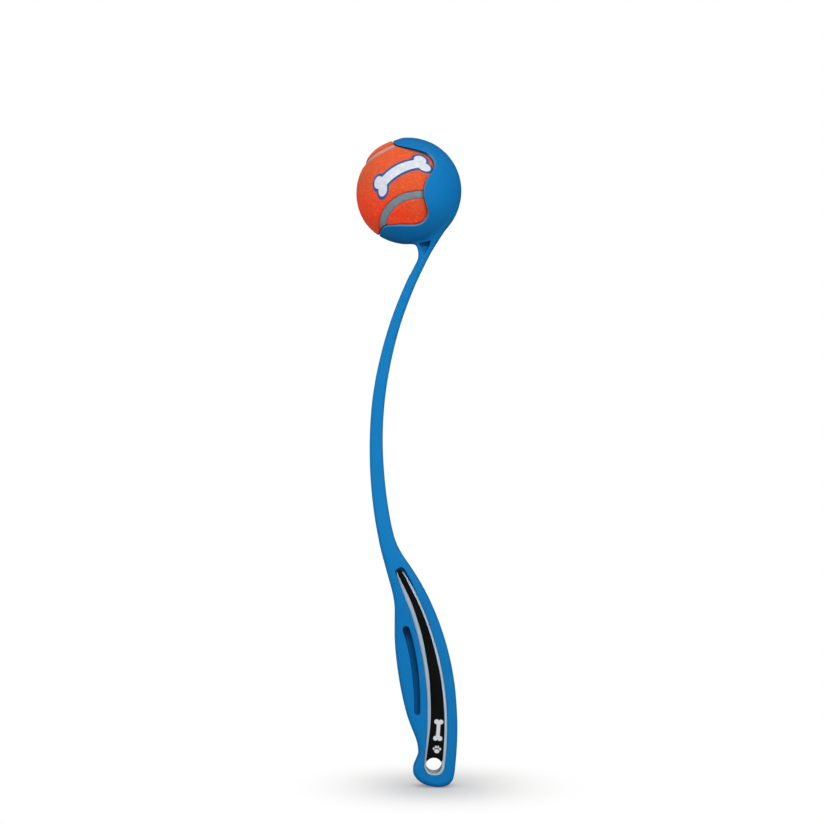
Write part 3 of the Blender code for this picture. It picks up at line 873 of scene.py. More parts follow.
def build_panel(panel, name, node, material):
    """A felt panel whose edge rolls down into the seam."""
    around = 560
    tau = 2 * np.pi * np.arange(around) / around
    start = math.pi / 4 if panel == 0 else -math.pi / 4
    t = start + tau if panel == 0 else start - tau
    p, n = seam_at(t), seam_side(t)
    s = spine_at(tau, panel)
    flip = (n * (s - p)).sum(1) < 0
    n[flip] = -n[flip]
    reach = (SEAM_HALF + 0.03) / 25.0
    e = unit(p * math.cos(reach) + n * math.sin(reach))
    width = np.arccos(np.clip((e * s).sum(1), -1, 1)) * 25.4  # edge to middle line, mm
    # close rings over the rolled edge, even ones after it
    rolled = [0.0, 0.08, 0.2, 0.36, 0.56, 0.8, 1.1]
    inner = 44
    rings, depth = [], []
    for mm in rolled:
        rings.append(slerp(e, s, (mm / width)[:, None]))
        depth.append(np.full(around, mm))
    for k in range(1, inner + 1):
        share = rolled[-1] / width + (1 - rolled[-1] / width) * k / inner
        rings.append(slerp(e, s, share[:, None]) if k < inner else s.copy())
        depth.append(share * width)
    outer = []
    for d, mm in zip(rings, depth):
        top = felt_height(d)
        # quarter-round edge, 0.9 mm deep and 1.1 mm wide
        u = np.clip(1 - mm / 1.1, 0, 1)
        outer.append(d * (top - 0.9 * (1 - np.sqrt(np.maximum(1 - u**2, 0))))[:, None])
    under = []
    for share in (0.0, 0.12, 0.4, 0.7, 1.0):
        d = slerp(e, s, np.full((around, 1), share)) if share < 1 else s.copy()
        under.append(d * 23.35)
    layers = under[::-1] + outer
    verts = np.concatenate(layers) @ BALL_TURN.T + BALL_CENTRE
    i = np.arange(around)
    j = (i + 1) % around
    quads = np.concatenate(
        [np.stack([k * around + i, k * around + j, (k + 1) * around + j, (k + 1) * around + i], 1)
         for k in range(len(layers) - 1)]
    )
    o = new_mesh(name, verts, quads, None, material)
    bm = bmesh.new()
    bm.from_mesh(o.data)
    bmesh.ops.remove_doubles(bm, verts=bm.verts, dist=2.0e-5)
    bmesh.ops.dissolve_degenerate(bm, edges=bm.edges, dist=1e-6)
    # the two runs along the middle line are joined, point to point
    loose = [v for v in bm.verts if not v.link_faces]
    bmesh.ops.delete(bm, geom=loose, context="VERTS")
    bmesh.ops.recalc_face_normals(bm, faces=bm.faces)
    bm.to_mesh(o.data)
    bm.free()
    o.data.shade_smooth()
    print(f"{name}: {len(o.data.polygons)} faces")
    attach(o, "ball")
    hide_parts(node)
    return o


def build_seam(material):
    around = 720
    t = 2 * np.pi * np.arange(around) / around
    p, n = seam_at(t), seam_side(t)
    section = [(-1.0, 23.35), (-1.0, 24.4), (-0.96, 24.72), (-0.85, 24.86), (-0.6, 24.93),
               (-0.25, 24.96), (0.25, 24.96), (0.6, 24.93), (0.85, 24.86), (0.96, 24.72),
               (1.0, 24.4), (1.0, 23.35)]
    layers = []
    for u, r in section:
        q = u * SEAM_HALF / 25.0
        d = p * math.cos(q) + n * math.sin(q)
        wave = 0.03 * lumps(d * 25, 0.8, 5) if r > 24.6 else 0
        rise = 0.9 * swell(d) if r > 24 else 0
        layers.append(d * np.broadcast_to(r + wave + rise, around)[:, None])
    verts = np.stack(layers, 1).reshape(-1, 3) @ BALL_TURN.T + BALL_CENTRE
    m = len(section)
    i = np.arange(around)[:, None]
    k = np.arange(m)[None]
    a = i * m + k
    b = ((i + 1) % around) * m + k
    c = ((i + 1) % around) * m + (k + 1) % m
    d = i * m + (k + 1) % m
    quads = np.stack([a, b, c, d], 2).reshape(-1, 4)
    o = new_mesh("ball_seam_fine", verts, quads, None, material)
    fix_normals(o)
    o.data.shade_smooth()
    o.data.set_sharp_from_angle(angle=math.radians(60))
    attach(o, "ball")
    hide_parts("ball_seam")
    return o


# ---------------------------------------------------------------------------
# materials
# ---------------------------------------------------------------------------
class Look:
    """A material's node tree, with short ways to add to it."""

    def __init__(self, name):
        self.m = bpy.data.materials.new(name)
        self.m.use_nodes = True
        self.t = self.m.node_tree
        self.s = self.t.nodes["Principled BSDF"]
        self.place = self.t.nodes.new("ShaderNodeTexCoord").outputs["Object"]

    def set(self, **values):
        for k, v in values.items():
            socket = self.s.inputs[k.replace("_", " ")]
            socket.default_value = (*v, 1.0) if isinstance(v, tuple) and len(v) == 3 and socket.type == "RGBA" else v

    def link(self, a, b):
        self.t.links.new(a, b)

    def feed(self, socket, value):
        if isinstance(value, bpy.types.NodeSocket):
            self.link(value, socket)
        elif value is not None:
            if isinstance(value, tuple) and len(value) == 3 and socket.type == "RGBA":
                value = (*value, 1.0)
            socket.default_value = value

    def math(self, op, a, b=None, c=None, clamp=False):
        n = self.t.nodes.new("ShaderNodeMath")
        n.operation, n.use_clamp = op, clamp
        for socket, v in zip(n.inputs, (a, b, c)):
            self.feed(socket, v)
        return n.outputs[0]

    def vec(self, op, a, b=None, out="Vector"):
        n = self.t.nodes.new("ShaderNodeVectorMath")
        n.operation = op
        self.feed(n.inputs[0], a)
        if b is not None:
            self.feed(n.inputs[1], b)
        return n.outputs[out]

    def noise(self, scale, detail=2.0, rough=0.5, distortion=0.0, at=None):
        n = self.t.nodes.new("ShaderNodeTexNoise")
        n.inputs["Scale"].default_value = scale
        n.inputs["Detail"].default_value = detail
        n.inputs["Roughness"].default_value = rough
        n.inputs["Distortion"].default_value = distortion
        self.link(at or self.place, n.inputs["Vector"])
        return n.outputs[0]

    def cells(self, scale, at=None, out="Distance", feature="F1"):
        n = self.t.nodes.new("ShaderNodeTexVoronoi")
        n.feature = feature
        n.inputs["Scale"].default_value = scale
        self.link(at or self.place, n.inputs["Vector"])
        return n.outputs[out]

    def ramp(self, value, low, high, to_low=0.0, to_high=1.0, smooth=False):
        n = self.t.nodes.new("ShaderNodeMapRange")
        n.interpolation_type = "SMOOTHSTEP" if smooth else "LINEAR"
        self.feed(n.inputs["Value"], value)
        for k, v in (("From Min", low), ("From Max", high), ("To Min", to_low), ("To Max", to_high)):
            self.feed(n.inputs[k], v)
        return n.outputs["Result"]

    def mix(self, share, a, b, blend="MIX"):
        n = self.t.nodes.new("ShaderNodeMix")
        n.data_type, n.blend_type = "RGBA", blend
        self.feed(n.inputs["Factor"], share)
        self.feed(n.inputs["A"] if False else n.inputs[6], a)
        self.feed(n.inputs[7], b)
        return n.outputs[2]

    def bump(self, height, strength, distance, before=None):
        n = self.t.nodes.new("ShaderNodeBump")
        n.inputs["Strength"].default_value = strength
        n.inputs["Distance"].default_value = distance
        self.link(height, n.inputs["Height"])
        if before is not None:
            self.link(before, n.inputs["Normal"])
        return n.outputs["Normal"]

    def pointiness(self):
        return self.t.nodes.new("ShaderNodeNewGeometry").outputs["Pointiness"]


def blue_plastic():
    """Satin moulded plastic: a fine moulded grain, faint flow marks and slightly polished edges, with painted light and
    shade: a lighter wand, a painted highlight along the upper finger's edge, painted shade and highlight on the cup's
    cut edge, and painted shade in the hollows."""
    k = Look("blue_plastic")
    k.set(Roughness=0.45, IOR=1.45, Specular_IOR_Level=0.11)
    flow = k.noise(38, 3, 0.55, 0.6)
    cloud = k.noise(11, 2, 0.5)
    grain = k.noise(5200, 2, 0.5)
    pits = k.noise(1500, 3, 0.6)
    base = k.mix(k.ramp(flow, 0.3, 0.7), (0.0034, 0.164, 0.441), (0.0042, 0.185, 0.483))
    base = k.mix(k.math("MULTIPLY", k.ramp(cloud, 0.35, 0.75), 0.35), base, (0.0030, 0.147, 0.406))
    base = k.mix(k.math("MULTIPLY", k.ramp(grain, 0.35, 0.75), 0.10), base, (0.006, 0.207, 0.50))
    # painted light: the wand above the grip is painted a lighter blue than the grip, as if lit more strongly
    height = k.vec("DOT_PRODUCT", k.place, (0.0, 0.0, 1.0), "Value")
    thin = k.math("MULTIPLY", k.ramp(height, 0.03, 0.085, smooth=True), k.ramp(height, 0.225, 0.205, smooth=True))
    base = k.mix(k.math("MULTIPLY", thin, 0.5), base, (0.0062, 0.212, 0.526))
    worn = k.ramp(k.pointiness(), 0.52, 0.62, smooth=True)
    base = k.mix(k.math("MULTIPLY", worn, 0.12), base, (0.012, 0.26, 0.60))
    # painted shade and highlight on the cup's cut edge: painted dark under the upper finger, where it faces down into
    # shadow, and painted paler elsewhere, where it catches the light
    normal = k.t.nodes.new("ShaderNodeTexCoord").outputs["Normal"]
    from_cup = k.vec("SUBTRACT", k.place, tuple(CUP_CENTRE * MM))
    radial = k.math("ABSOLUTE", k.vec("DOT_PRODUCT", normal, k.vec("NORMALIZE", from_cup), "Value"))
    cut_edge = k.math("MULTIPLY", k.ramp(radial, 0.75, 0.35, smooth=True), k.ramp(height, 0.2235, 0.2245))
    up = k.vec("DOT_PRODUCT", from_cup, tuple(MOUTH_UP * 1000), "Value")
    over = k.ramp(up, 16.9, 19.0, smooth=True)
    # painted highlight: a lighter band along the upper finger's rounded edge, where it catches the light
    edge_highlight = k.math("MULTIPLY", k.ramp(radial, 0.995, 0.96), k.ramp(radial, 0.62, 0.75))
    edge_highlight = k.math("MULTIPLY", edge_highlight, k.ramp(up, 10.0, 14.0, 0.0, 0.6))
    base = k.mix(edge_highlight, base, (0.025, 0.30, 0.62))
    # painted shade on the upper finger's cut edge
    base = k.mix(k.math("MULTIPLY", cut_edge, over), base, (0.0010, 0.048, 0.135))
    # painted highlight on the rest of the cut edge
    base = k.mix(k.math("MULTIPLY", cut_edge, k.ramp(over, 0.0, 1.0, 0.8, 0.0)), base, (0.15, 0.28, 0.42))
    # painted shade in the hollows: the slot, the neck's pocket and the gap round the silver tray's tip are painted dark
    # where shade falls
    px = k.vec("DOT_PRODUCT", k.place, (1000.0, 0.0, 0.0), "Value")
    pz = k.vec("DOT_PRODUCT", k.place, (0.0, 0.0, 1000.0), "Value")
    py = k.math("ABSOLUTE", k.vec("DOT_PRODUCT", k.place, (0.0, 1000.0, 0.0), "Value"))
    low = k.math("ADD", pz, 0.6)
    line = k.math("ADD", k.math("MULTIPLY", low, -0.1355), k.math("MULTIPLY", k.math("MULTIPLY", low, low), -0.0036))
    beside = k.math("ABSOLUTE", k.math("SUBTRACT", px, k.math("ADD", line, -4.75)))
    slot = k.math("MULTIPLY", k.ramp(beside, 2.3, 1.7), k.ramp(py, 6.2, 3.4, smooth=True))
    slot = k.math("MULTIPLY", slot, k.math("MULTIPLY", k.ramp(pz, -26.0, -22.0), k.ramp(pz, 24.0, 23.0)))
    slot = k.math("MULTIPLY", slot, k.ramp(pz, 14.0, 20.0, 0.42, 0.72))
    neck = k.math("MULTIPLY", k.ramp(pz, 219.0, 221.0, 0.10, 0.60, smooth=True), k.ramp(py, 4.9, 2.4, 0.0, 1.0, smooth=True))
    neck = k.math("MULTIPLY", neck, k.math("MULTIPLY", k.ramp(pz, 215.0, 217.0), k.ramp(pz, 226.0, 224.5)))
    neck = k.math("MULTIPLY", neck, k.math("MULTIPLY", k.ramp(px, -2.9, -2.3), k.ramp(px, 4.2, 3.6)))
    tip = k.math("ABSOLUTE", k.math("ADD", px, k.math("ADD", k.math("MULTIPLY", pz, 0.448), -10.17)))
    gap = k.math("MULTIPLY", k.ramp(tip, 4.2, 3.0), k.math("MULTIPLY", k.ramp(py, 6.7, 5.4, 0.0, 0.62, smooth=True), k.ramp(pz, 38.0, 50.0)))
    gap = k.math("MULTIPLY", gap, k.ramp(pz, 54.5, 53.5))
    hollow_shade = k.math("MAXIMUM", slot, k.math("MAXIMUM", neck, gap))
    base = k.mix(hollow_shade, base, (0.0008, 0.018, 0.070))
    k.link(base, k.s.inputs["Base Color"])
    rough = k.math("ADD", k.ramp(pits, 0.3, 0.7, 0.36, 0.47), k.math("MULTIPLY", worn, -0.06))
    k.link(rough, k.s.inputs["Roughness"])
    fine = k.bump(grain, 0.10, 0.00006)
    fine = k.bump(pits, 0.14, 0.00012, fine)
    # the faint line where the mould's halves met
    apart = k.math("ABSOLUTE", k.vec("DOT_PRODUCT", k.place, (0.0, 1000.0, 0.0), "Value"))
    line = k.ramp(apart, 0.05, 0.17, 1.0, 0.0, smooth=True)
    k.link(k.bump(line, 0.7, 0.00007, fine), k.s.inputs["Normal"])
    return k.m


def silver_plastic():
    """Plastic with a fine silver paint on it."""
    k = Look("silver_plastic")
    k.set(Metallic=0.2, Roughness=0.36, IOR=1.5)
    flake = k.cells(3800, out="Color")
    soft = k.noise(60, 3, 0.5)
    grain = k.noise(4200, 2, 0.5)
    base = k.mix(k.ramp(soft, 0.3, 0.7), (0.455, 0.59, 0.70), (0.51, 0.635, 0.74))
    base = k.mix(0.10, base, flake, "SOFT_LIGHT")
    # painted shade: the narrow upper tip is painted dark, where it sits down in the recess's shadow
    tip = k.ramp(k.vec("DOT_PRODUCT", k.place, (0.0, 0.0, 1000.0), "Value"), 50.5, 51.3, 0.0, 0.99, smooth=True)
    base = k.mix(tip, base, (0.008, 0.03, 0.06))
    # painted light: the hang hole's wall is painted paler, standing in for the light that comes through the hole from
    # behind
    from_hole = k.vec("SUBTRACT", k.place, (HOLE_X * MM, 0.0, HOLE_Z * MM))
    from_hole = k.vec("LENGTH", k.vec("MULTIPLY", from_hole, (1000.0, 0.0, 1000.0)), out="Value")
    base = k.mix(k.ramp(from_hole, HOLE_R + 0.12, HOLE_R + 0.3, 1.0, 0.0), base, (0.64, 0.73, 0.77))
    k.link(base, k.s.inputs["Base Color"])
    k.link(k.ramp(grain, 0.3, 0.7, 0.28, 0.40), k.s.inputs["Roughness"])
    k.link(k.bump(grain, 0.08, 0.00004), k.s.inputs["Normal"])
    return k.m


def bone_shape(k, u, v, half_length, half_width, knob, spread):
    """Distance inside a bone drawn along u, in millimetres; negative inside."""
    au, av = k.math("ABSOLUTE", u), k.math("ABSOLUTE", v)
    shaft = k.math(
        "MAXIMUM", k.math("SUBTRACT", av, half_width), k.math("SUBTRACT", au, half_length)
    )
    du, dv = k.math("SUBTRACT", au, half_length), k.math("SUBTRACT", av, spread)
    ball = k.math(
        "SUBTRACT",
        k.math("SQRT", k.math("ADD", k.math("MULTIPLY", du, du), k.math("MULTIPLY", dv, dv))),
        knob,
    )
    return k.math("SMOOTH_MIN", shaft, ball, knob * 0.45)


def disc(k, u, v, cu, cv, ru, rv):
    """About the distance outside an ellipse, in millimetres."""
    a = k.math("DIVIDE", k.math("SUBTRACT", u, cu), ru)
    b = k.math("DIVIDE", k.math("SUBTRACT", v, cv), rv)
    r = k.math("SQRT", k.math("ADD", k.math("MULTIPLY", a, a), k.math("MULTIPLY", b, b)))
    return k.math("MULTIPLY", k.math("SUBTRACT", r, 1.0), min(ru, rv))


def paw_shape(k, u, v, size):
    """A paw print: a pad and four toes, pointing along +v."""
    d = disc(k, u, v, 0.0, -0.30 * size, 0.52 * size, 0.42 * size)
    for cu, cv, ru, rv in (
        (-0.66, 0.18, 0.19, 0.27), (-0.24, 0.56, 0.20, 0.29),
        (0.24, 0.56, 0.20, 0.29), (0.66, 0.18, 0.19, 0.27),
    ):
        d = k.math("MINIMUM", d, disc(k, u, v, cu * size, cv * size, ru * size, rv * size))
    return d


def black_strip(name, mirror):
    """Glossy-satin black, with a small white bone and paw at its lower end."""
    k = Look(name)
    k.set(Roughness=0.36, IOR=1.5, Specular_IOR_Level=0.2)
    soft = k.noise(70, 3, 0.5)
    grain = k.noise(4600, 2, 0.5)
    base = k.mix(k.ramp(soft, 0.3, 0.7), (0.0036, 0.0035, 0.0034), (0.0060, 0.0058, 0.0055))
    base = k.mix(k.math("MULTIPLY", k.ramp(grain, 0.4, 0.8), 0.2), base, (0.012, 0.0115, 0.011))
    # along: down the strip from the motif's middle; across: towards the front
    mid = np.array((7.15, 0, -34.5))
    lean = math.radians(-4.0)
    down = (math.sin(lean) * 1000, 0.0, -math.cos(lean) * 1000)
    across = (math.cos(lean) * 1000, 0.0, math.sin(lean) * 1000)
    rel = k.vec("SUBTRACT", k.place, tuple(mid * MM))
    along = k.vec("DOT_PRODUCT", rel, down, "Value")
    side = k.vec("DOT_PRODUCT", rel, across, "Value")
    bone = bone_shape(k, k.math("SUBTRACT", along, -3.3), side, 4.3, 0.95, 1.25, 1.15)
    paw = paw_shape(k, side, k.math("MULTIPLY", k.math("SUBTRACT", along, 6.9), -1.0), 2.5)
    shape = k.math("MINIMUM", bone, paw)
    ink = k.ramp(shape, -0.03, 0.05, 1.0, 0.0, smooth=True)
    specks = k.ramp(k.noise(2600, 3, 0.6), 0.28, 0.40)
    ink = k.math("MULTIPLY", ink, k.ramp(specks, 0, 1, 0.82, 1.0))
    base = k.mix(ink, base, (0.62, 0.64, 0.67))
    k.link(base, k.s.inputs["Base Color"])
    k.link(k.math("ADD", k.ramp(grain, 0.3, 0.7, 0.26, 0.36), k.math("MULTIPLY", ink, 0.2)), k.s.inputs["Roughness"])
    k.link(k.bump(grain, 0.06, 0.00004, k.bump(ink, 0.3, 0.00003)), k.s.inputs["Normal"])
    return k.m


def ball_frame():
    """Where the print lies on the ball: its middle, along and up directions."""
    def on_ball(x, z):
        """The near point of the ball in front of a point of the profile."""
        dx, dz = x - BALL_CENTRE[0], z - BALL_CENTRE[2]
        return np.array((dx, -math.sqrt(25.6**2 - dx * dx - dz * dz), dz)) / 25.6

    left, right, mid = on_ball(-27.0, 247.6), on_ball(3.2, 264.6), on_ball(-12.4, 257.6)
    along = right - left
    along -= mid * (along @ mid)
    along /= np.linalg.norm(along)
    up = np.cross(mid, along)
    if up[2] < 0:
        up = -up
    return mid, along, up


def orange_felt(name, seed):
    """Pressed wool felt: mottled dye, short matted fibres and a soft sheen,
    with a white bone outlined in navy printed on it."""
    k = Look(name)
    k.set(Roughness=0.92, IOR=1.4, Specular_IOR_Level=0.15, Sheen_Weight=0.22, Sheen_Roughness=0.45, Sheen_Tint=(1.0, 0.55, 0.36))
    at = k.vec("ADD", k.place, (seed * 0.31, seed * 0.17, seed * 0.23))
    large = k.noise(55, 3, 0.55, at=at)
    blots = k.noise(420, 4, 0.62, 0.3, at=at)
    grain = k.noise(1250, 3, 0.65, 0.5, at=at)
    fibre = k.noise(3600, 3, 0.6, 1.2, at=at)
    # painted light: the felt is painted paler orange towards the ball's upper right, where the light falls, and a
    # brighter red towards its lower left, which offsets the shade there
    turn = k.vec("DOT_PRODUCT", k.vec("SUBTRACT", k.place, tuple(BALL_CENTRE * MM)), (12.0, 0.0, 36.0), "Value")
    side = k.ramp(k.math("ADD", turn, k.math("MULTIPLY", k.math("SUBTRACT", large, 0.5), 0.5)), -0.62, 0.0, smooth=True)
    base = k.mix(side, (0.98, 0.046, 0.0115), (0.665, 0.090, 0.026))
    base = k.mix(k.math("MULTIPLY", k.ramp(blots, 0.42, 0.72), 0.45), base, (0.79, 0.045, 0.012))
    base = k.mix(k.math("MULTIPLY", k.ramp(grain, 0.47, 0.72), 0.6), base, (0.98, 0.215, 0.082))
    base = k.mix(k.math("MULTIPLY", k.ramp(fibre, 0.55, 0.8), 0.35), base, (0.62, 0.04, 0.011))
    # the print
    mid, along, up = ball_frame()
    rel = k.vec("SUBTRACT", k.place, tuple(BALL_CENTRE * MM))
    frayed = k.t.nodes.new("ShaderNodeTexNoise")
    frayed.inputs["Scale"].default_value = 2200
    frayed.inputs["Detail"].default_value = 2
    k.link(k.place, frayed.inputs["Vector"])
    fray = k.vec("MULTIPLY", k.vec("SUBTRACT", frayed.outputs["Color"], (0.5, 0.5, 0.5)), (0.0005, 0.0005, 0.0005))
    rel = k.vec("ADD", rel, fray)
    u = k.vec("DOT_PRODUCT", rel, tuple(along * 1000), "Value")
    v = k.vec("DOT_PRODUCT", rel, tuple(up * 1000), "Value")
    w = k.vec("DOT_PRODUCT", rel, tuple(mid * 1000), "Value")
    v = k.math("ADD", v, k.math("MULTIPLY", k.math("MULTIPLY", u, u), 0.012))
    bone = bone_shape(k, k.math("ADD", u, 0.5), v, 12.2, 2.45, 2.7, 2.3)
    front = k.ramp(w, 2.0, 4.0)
    outline = k.math("MULTIPLY", k.ramp(bone, 1.05, 1.35, 1.0, 0.0, smooth=True), front)
    white = k.math("MULTIPLY", k.ramp(bone, -0.12, 0.1, 1.0, 0.0, smooth=True), front)
    thin = k.ramp(fibre, 0.62, 0.8, 0.0, 0.25)
    navy = k.mix(k.ramp(blots, 0.4, 0.7), (0.022, 0.085, 0.27), (0.035, 0.12, 0.33))
    pale = k.mix(k.ramp(blots, 0.35, 0.7), (0.70, 0.73, 0.79), (0.56, 0.60, 0.68))
    base = k.mix(k.math("MULTIPLY", outline, k.math("SUBTRACT", 1.0, thin)), base, navy)
    base = k.mix(k.math("MULTIPLY", white, k.math("SUBTRACT", 1.0, thin)), base, pale)
    k.link(base, k.s.inputs["Base Color"])
    first = k.bump(grain, 0.45, 0.00028)
    k.link(k.bump(fibre, 0.55, 0.00018, first), k.s.inputs["Normal"])
    return k.m


def grey_seam():
    """Dull grey rubber cement with lint on it."""
    k = Look("grey_seam")
    k.set(Roughness=0.75, IOR=1.5, Specular_IOR_Level=0.3, Sheen_Weight=0.1, Sheen_Roughness=0.5)
    blots = k.noise(500, 4, 0.6)
    grain = k.noise(2400, 3, 0.6)
    base = k.mix(k.ramp(blots, 0.3, 0.7), (0.155, 0.215, 0.265), (0.20, 0.265, 0.315))
    lint = k.ramp(k.noise(1300, 4, 0.7, 1.5), 0.62, 0.74)
    base = k.mix(k.math("MULTIPLY", lint, 0.5), base, (0.45, 0.20, 0.14))
    # the seam is paler and pinker towards the ball's upper side
    high = k.vec("DOT_PRODUCT", k.vec("SUBTRACT", k.place, tuple(BALL_CENTRE * MM)), (0.0, 0.0, 1000.0), "Value")
    paler_above = k.math("MULTIPLY", k.ramp(high, 12.5, 17.5, smooth=True), k.ramp(blots, 0.3, 0.6, 0.7, 0.95))
    base = k.mix(paler_above, base, (0.60, 0.29, 0.215))
    k.link(base, k.s.inputs["Base Color"])
    k.link(k.ramp(grain, 0.3, 0.7, 0.68, 0.85), k.s.inputs["Roughness"])
    k.link(k.bump(grain, 0.35, 0.00015), k.s.inputs["Normal"])
    return k.m


def core_rubber():
    k = Look("core_rubber")
    k.set(Roughness=0.6, IOR=1.52)
    cloud = k.noise(90, 3, 0.55)
    grain = k.noise(1800, 3, 0.6)
    base = k.mix(k.ramp(cloud, 0.3, 0.7), (0.050, 0.050, 0.052), (0.085, 0.083, 0.080))
    base = k.mix(k.math("MULTIPLY", k.ramp(grain, 0.5, 0.8), 0.3), base, (0.14, 0.135, 0.13))
    k.link(base, k.s.inputs["Base Color"])
    k.link(k.ramp(grain, 0.3, 0.7, 0.5, 0.72), k.s.inputs["Roughness"])
    k.link(k.bump(grain, 0.3, 0.0002), k.s.inputs["Normal"])
    return k.m


# ---------------------------------------------------------------------------
# the object
# ---------------------------------------------------------------------------
blue = blue_plastic()
silver = silver_plastic()
felt_a, felt_b = orange_felt("orange_felt_a", 1), orange_felt("orange_felt_b", 2)
seam_grey = grey_seam()
rubber = core_rubber()

build_body(blue)
for sign, side in ((-1, "left"), (1, "right")):
    build_tray(sign, side, silver)
    build_strip(sign, side, black_strip(f"black_strip_{side}", sign > 0))
build_panel(0, "ball_felt_a_fine", "ball_felt_panel_a", felt_a)
build_panel(1, "ball_felt_b_fine", "ball_felt_panel_b", felt_b)
build_seam(seam_grey)
for node in ("ball_core_half_a", "ball_core_half_b"):
    o = frame["nodes"][node]
    o.data.materials.clear()
    o.data.materials.append(rubber)

# ---------------------------------------------------------------------------
# floor, light and camera
# ---------------------------------------------------------------------------
FLOOR_Z = -0.0611


def build_floor():
    """A wide pale floor that fades into the white ground with distance."""
    around = 96
    radii = [0.15, 0.3, 0.5, 0.8, 1.2, 2.0, 4.0, 8.0]
    verts, faces = [(0.0, 0.0, FLOOR_Z)], []
    for r in radii:
        for i in range(around):
            q = 2 * math.pi * i / around
            verts.append((r * math.cos(q), r * math.sin(q), FLOOR_Z))
    for i in range(around):
        faces.append((0, 1 + i, 1 + (i + 1) % around))
    for k in range(len(radii) - 1):
        for i in range(around):
            j = (i + 1) % around
            a, b = 1 + k * around, 1 + (k + 1) * around
            faces.append((a + i, b + i, b + j, a + j))
    me = bpy.data.meshes.new("floor")
    me.from_pydata(verts, [], faces)
    o = bpy.data.objects.new("floor", me)
    bpy.context.scene.collection.objects.link(o)
    k = Look("floor_white")
    k.set(Roughness=0.9, Specular_IOR_Level=0.0)
    k.link(
        k.mix(k.ramp(k.noise(6, 2), 0.3, 0.7), (0.93, 0.922, 0.905), (0.94, 0.932, 0.915)),
        k.s.inputs["Base Color"],
    )
    # far from the object the floor is as white as the ground behind it
    away = k.vec("LENGTH", k.vec("SUBTRACT", k.place, (0.0076, 0.0, FLOOR_Z)), out="Value")
    far = k.ramp(away, 0.014, 0.085, 0.02, 1.0, smooth=True)
    light = k.t.nodes.new("ShaderNodeEmission")
    light.inputs["Strength"].default_value = 1.0
    both = k.t.nodes.new("ShaderNodeMixShader")
    k.link(far, both.inputs[0])
    k.link(k.s.outputs[0], both.inputs[1])
    k.link(light.outputs[0], both.inputs[2])
    # it gives back less light than it shows, like a floor in a dark studio
    dull = k.t.nodes.new("ShaderNodeBsdfDiffuse")
    path = k.t.nodes.new("ShaderNodeLightPath")
    k.link(
        k.mix(path.outputs["Is Glossy Ray"], (0.28, 0.28, 0.28), (0.04, 0.04, 0.04)),
        dull.inputs["Color"],
    )
    seen = k.t.nodes.new("ShaderNodeMixShader")
    k.link(path.outputs["Is Camera Ray"], seen.inputs[0])
    k.link(dull.outputs[0], seen.inputs[1])
    k.link(both.outputs[0], seen.inputs[2])
    k.link(seen.outputs[0], k.t.nodes["Material Output"].inputs["Surface"])
    me.materials.append(k.m)


def area(name, at, to, size, power, colour=(1, 1, 1)):
    light = bpy.data.lights.new(name, "AREA")
    light.shape, light.size, light.size_y = "RECTANGLE", size[0], size[1]
    light.energy, light.color = power, colour
    o = bpy.data.objects.new(name, light)
    bpy.context.scene.collection.objects.link(o)
    o.location = at
    o.rotation_euler = (Vector(to) - Vector(at)).to_track_quat("-Z", "Y").to_euler()
    o.visible_camera = False
    return o


def build_world():
    """White to the camera; to the object a soft room, brighter overhead."""
    world = bpy.data.worlds.new("studio")
    bpy.context.scene.world = world
    world.use_nodes = True
    t = world.node_tree
    t.nodes.clear()
    out = t.nodes.new("ShaderNodeOutputWorld")
    seen, soft = t.nodes.new("ShaderNodeBackground"), t.nodes.new("ShaderNodeBackground")
    both, path = t.nodes.new("ShaderNodeMixShader"), t.nodes.new("ShaderNodeLightPath")
    place, split = t.nodes.new("ShaderNodeTexCoord"), t.nodes.new("ShaderNodeSeparateXYZ")
    grade = t.nodes.new("ShaderNodeMapRange")
    seen.inputs["Strength"].default_value = 1.0
    seen.inputs["Color"].default_value = (1, 1, 1, 1)
    soft.inputs["Color"].default_value = (1, 1, 1, 1)
    t.links.new(place.outputs["Generated"], split.inputs[0])
    t.links.new(split.outputs["Z"], grade.inputs["Value"])
    for name, v in (("From Min", -0.1), ("From Max", 1.0), ("To Min", 0.05), ("To Max", 0.75)):
        grade.inputs[name].default_value = v
    # glossy rays see a dim room, so that the plastic keeps its deep colour
    dim = t.nodes.new("ShaderNodeMath")
    dim.operation = "MULTIPLY_ADD"
    dim.inputs[1].default_value, dim.inputs[2].default_value = -0.92, 1.0
    level = t.nodes.new("ShaderNodeMath")
    level.operation = "MULTIPLY"
    t.links.new(path.outputs["Is Glossy Ray"], dim.inputs[0])
    t.links.new(dim.outputs[0], level.inputs[0])
    t.links.new(grade.outputs[0], level.inputs[1])
    t.links.new(level.outputs[0], soft.inputs["Strength"])
    t.links.new(path.outputs["Is Camera Ray"], both.inputs[0])
    t.links.new(soft.outputs[0], both.inputs[1])
    t.links.new(seen.outputs[0], both.inputs[2])
    t.links.new(both.outputs[0], out.inputs[0])


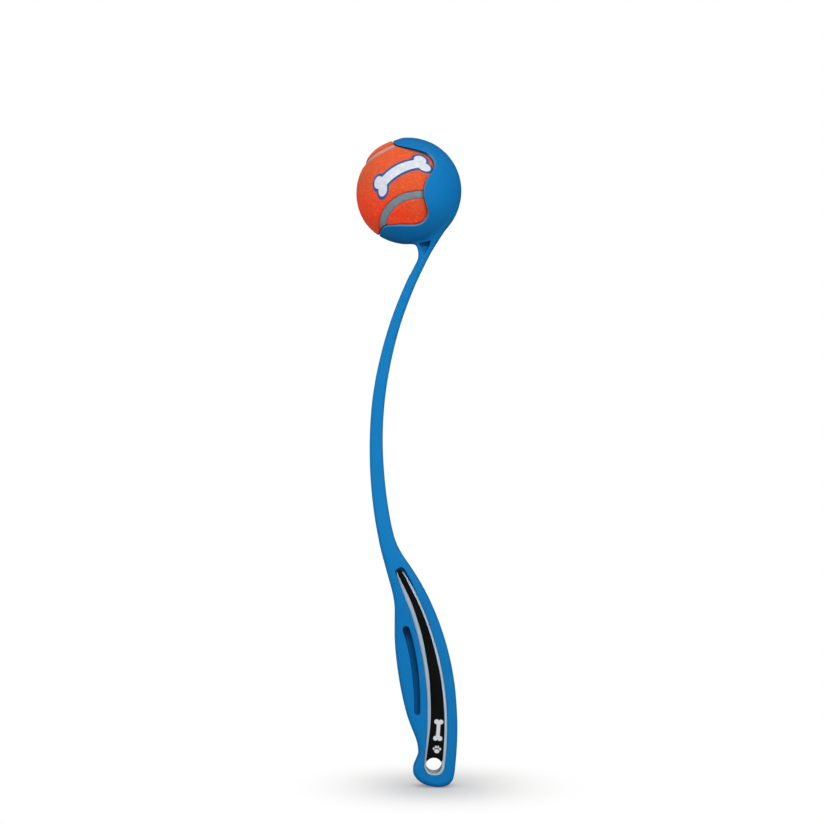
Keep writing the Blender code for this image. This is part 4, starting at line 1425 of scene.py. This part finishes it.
def link_light(light, name, objects, state):
    """Limits which objects a light reaches."""
    group = bpy.data.collections.new(name)
    bpy.context.scene.collection.children.link(group)
    for o in objects:
        group.objects.link(o)
    light.light_linking.receiver_collection = group
    for member in group.collection_objects:
        member.light_linking.link_state = state


build_floor()
build_world()
floor = bpy.data.objects["floor"]
soft_boxes = [
    area("front_right", (0.22, -0.72, 0.50), (0, 0, 0.19), (0.4, 0.4), 2.7),
    area("low_front", (0.05, -0.95, 0.0), (0, 0, 0.12), (0.5, 0.5), 2.1),
    area("low_right", (0.65, -0.70, 0.0), (0, 0, 0.12), (0.5, 0.5), 3.5),
    area("low_left", (-0.65, -0.70, 0.0), (0, 0, 0.12), (0.5, 0.5), 1.3),
    area("left", (-0.84, -0.15, 0.36), (0, 0, 0.19), (0.45, 0.45), 2.7),
    area("top_right", (0.55, -0.39, 1.32), (0, 0, 0.15), (0.5, 0.5), 2.5),
    area("back", (0.12, 1.2, 0.42), (0, 0, 0.12), (0.7, 0.7), 5.0),
]
for lamp in soft_boxes:
    lamp.visible_glossy = lamp.name == "top_right"
    link_light(lamp, f"{lamp.name}_spares_floor", [floor], "EXCLUDE")
felt_pieces = [o for o in bpy.data.objects if o.name.startswith(("ball_felt", "ball_seam_fine"))]
# the floor has a lamp of its own; only the ball stands in its way, which
# leaves a wide soft shadow round the butt and no hard line under it
floor_lamp = area("floor_lamp", (-0.055, 0.0, 1.3), (-0.055, 0.0, FLOOR_Z), (0.24, 0.36), 8.3)
link_light(floor_lamp, "lit_by_floor_lamp", [floor], "INCLUDE")
shade = bpy.data.collections.new("shades_floor_lamp")
bpy.context.scene.collection.children.link(shade)
for o in felt_pieces:
    shade.objects.link(o)
floor_lamp.light_linking.blocker_collection = shade

camera = bpy.data.cameras.new("camera")
camera.sensor_width = 36.0
camera.lens = 36.0 * 1.1 / (823 * 0.0005217)
camera.clip_start, camera.clip_end = 0.01, 50
eye = bpy.data.objects.new("camera", camera)
bpy.context.scene.collection.objects.link(eye)
eye.location = (-0.0065, -1.1, 0.13405)
eye.rotation_euler = (math.radians(90), 0, 0)
bpy.context.scene.camera = eye
bpy.context.scene.view_settings.view_transform = "Standard"
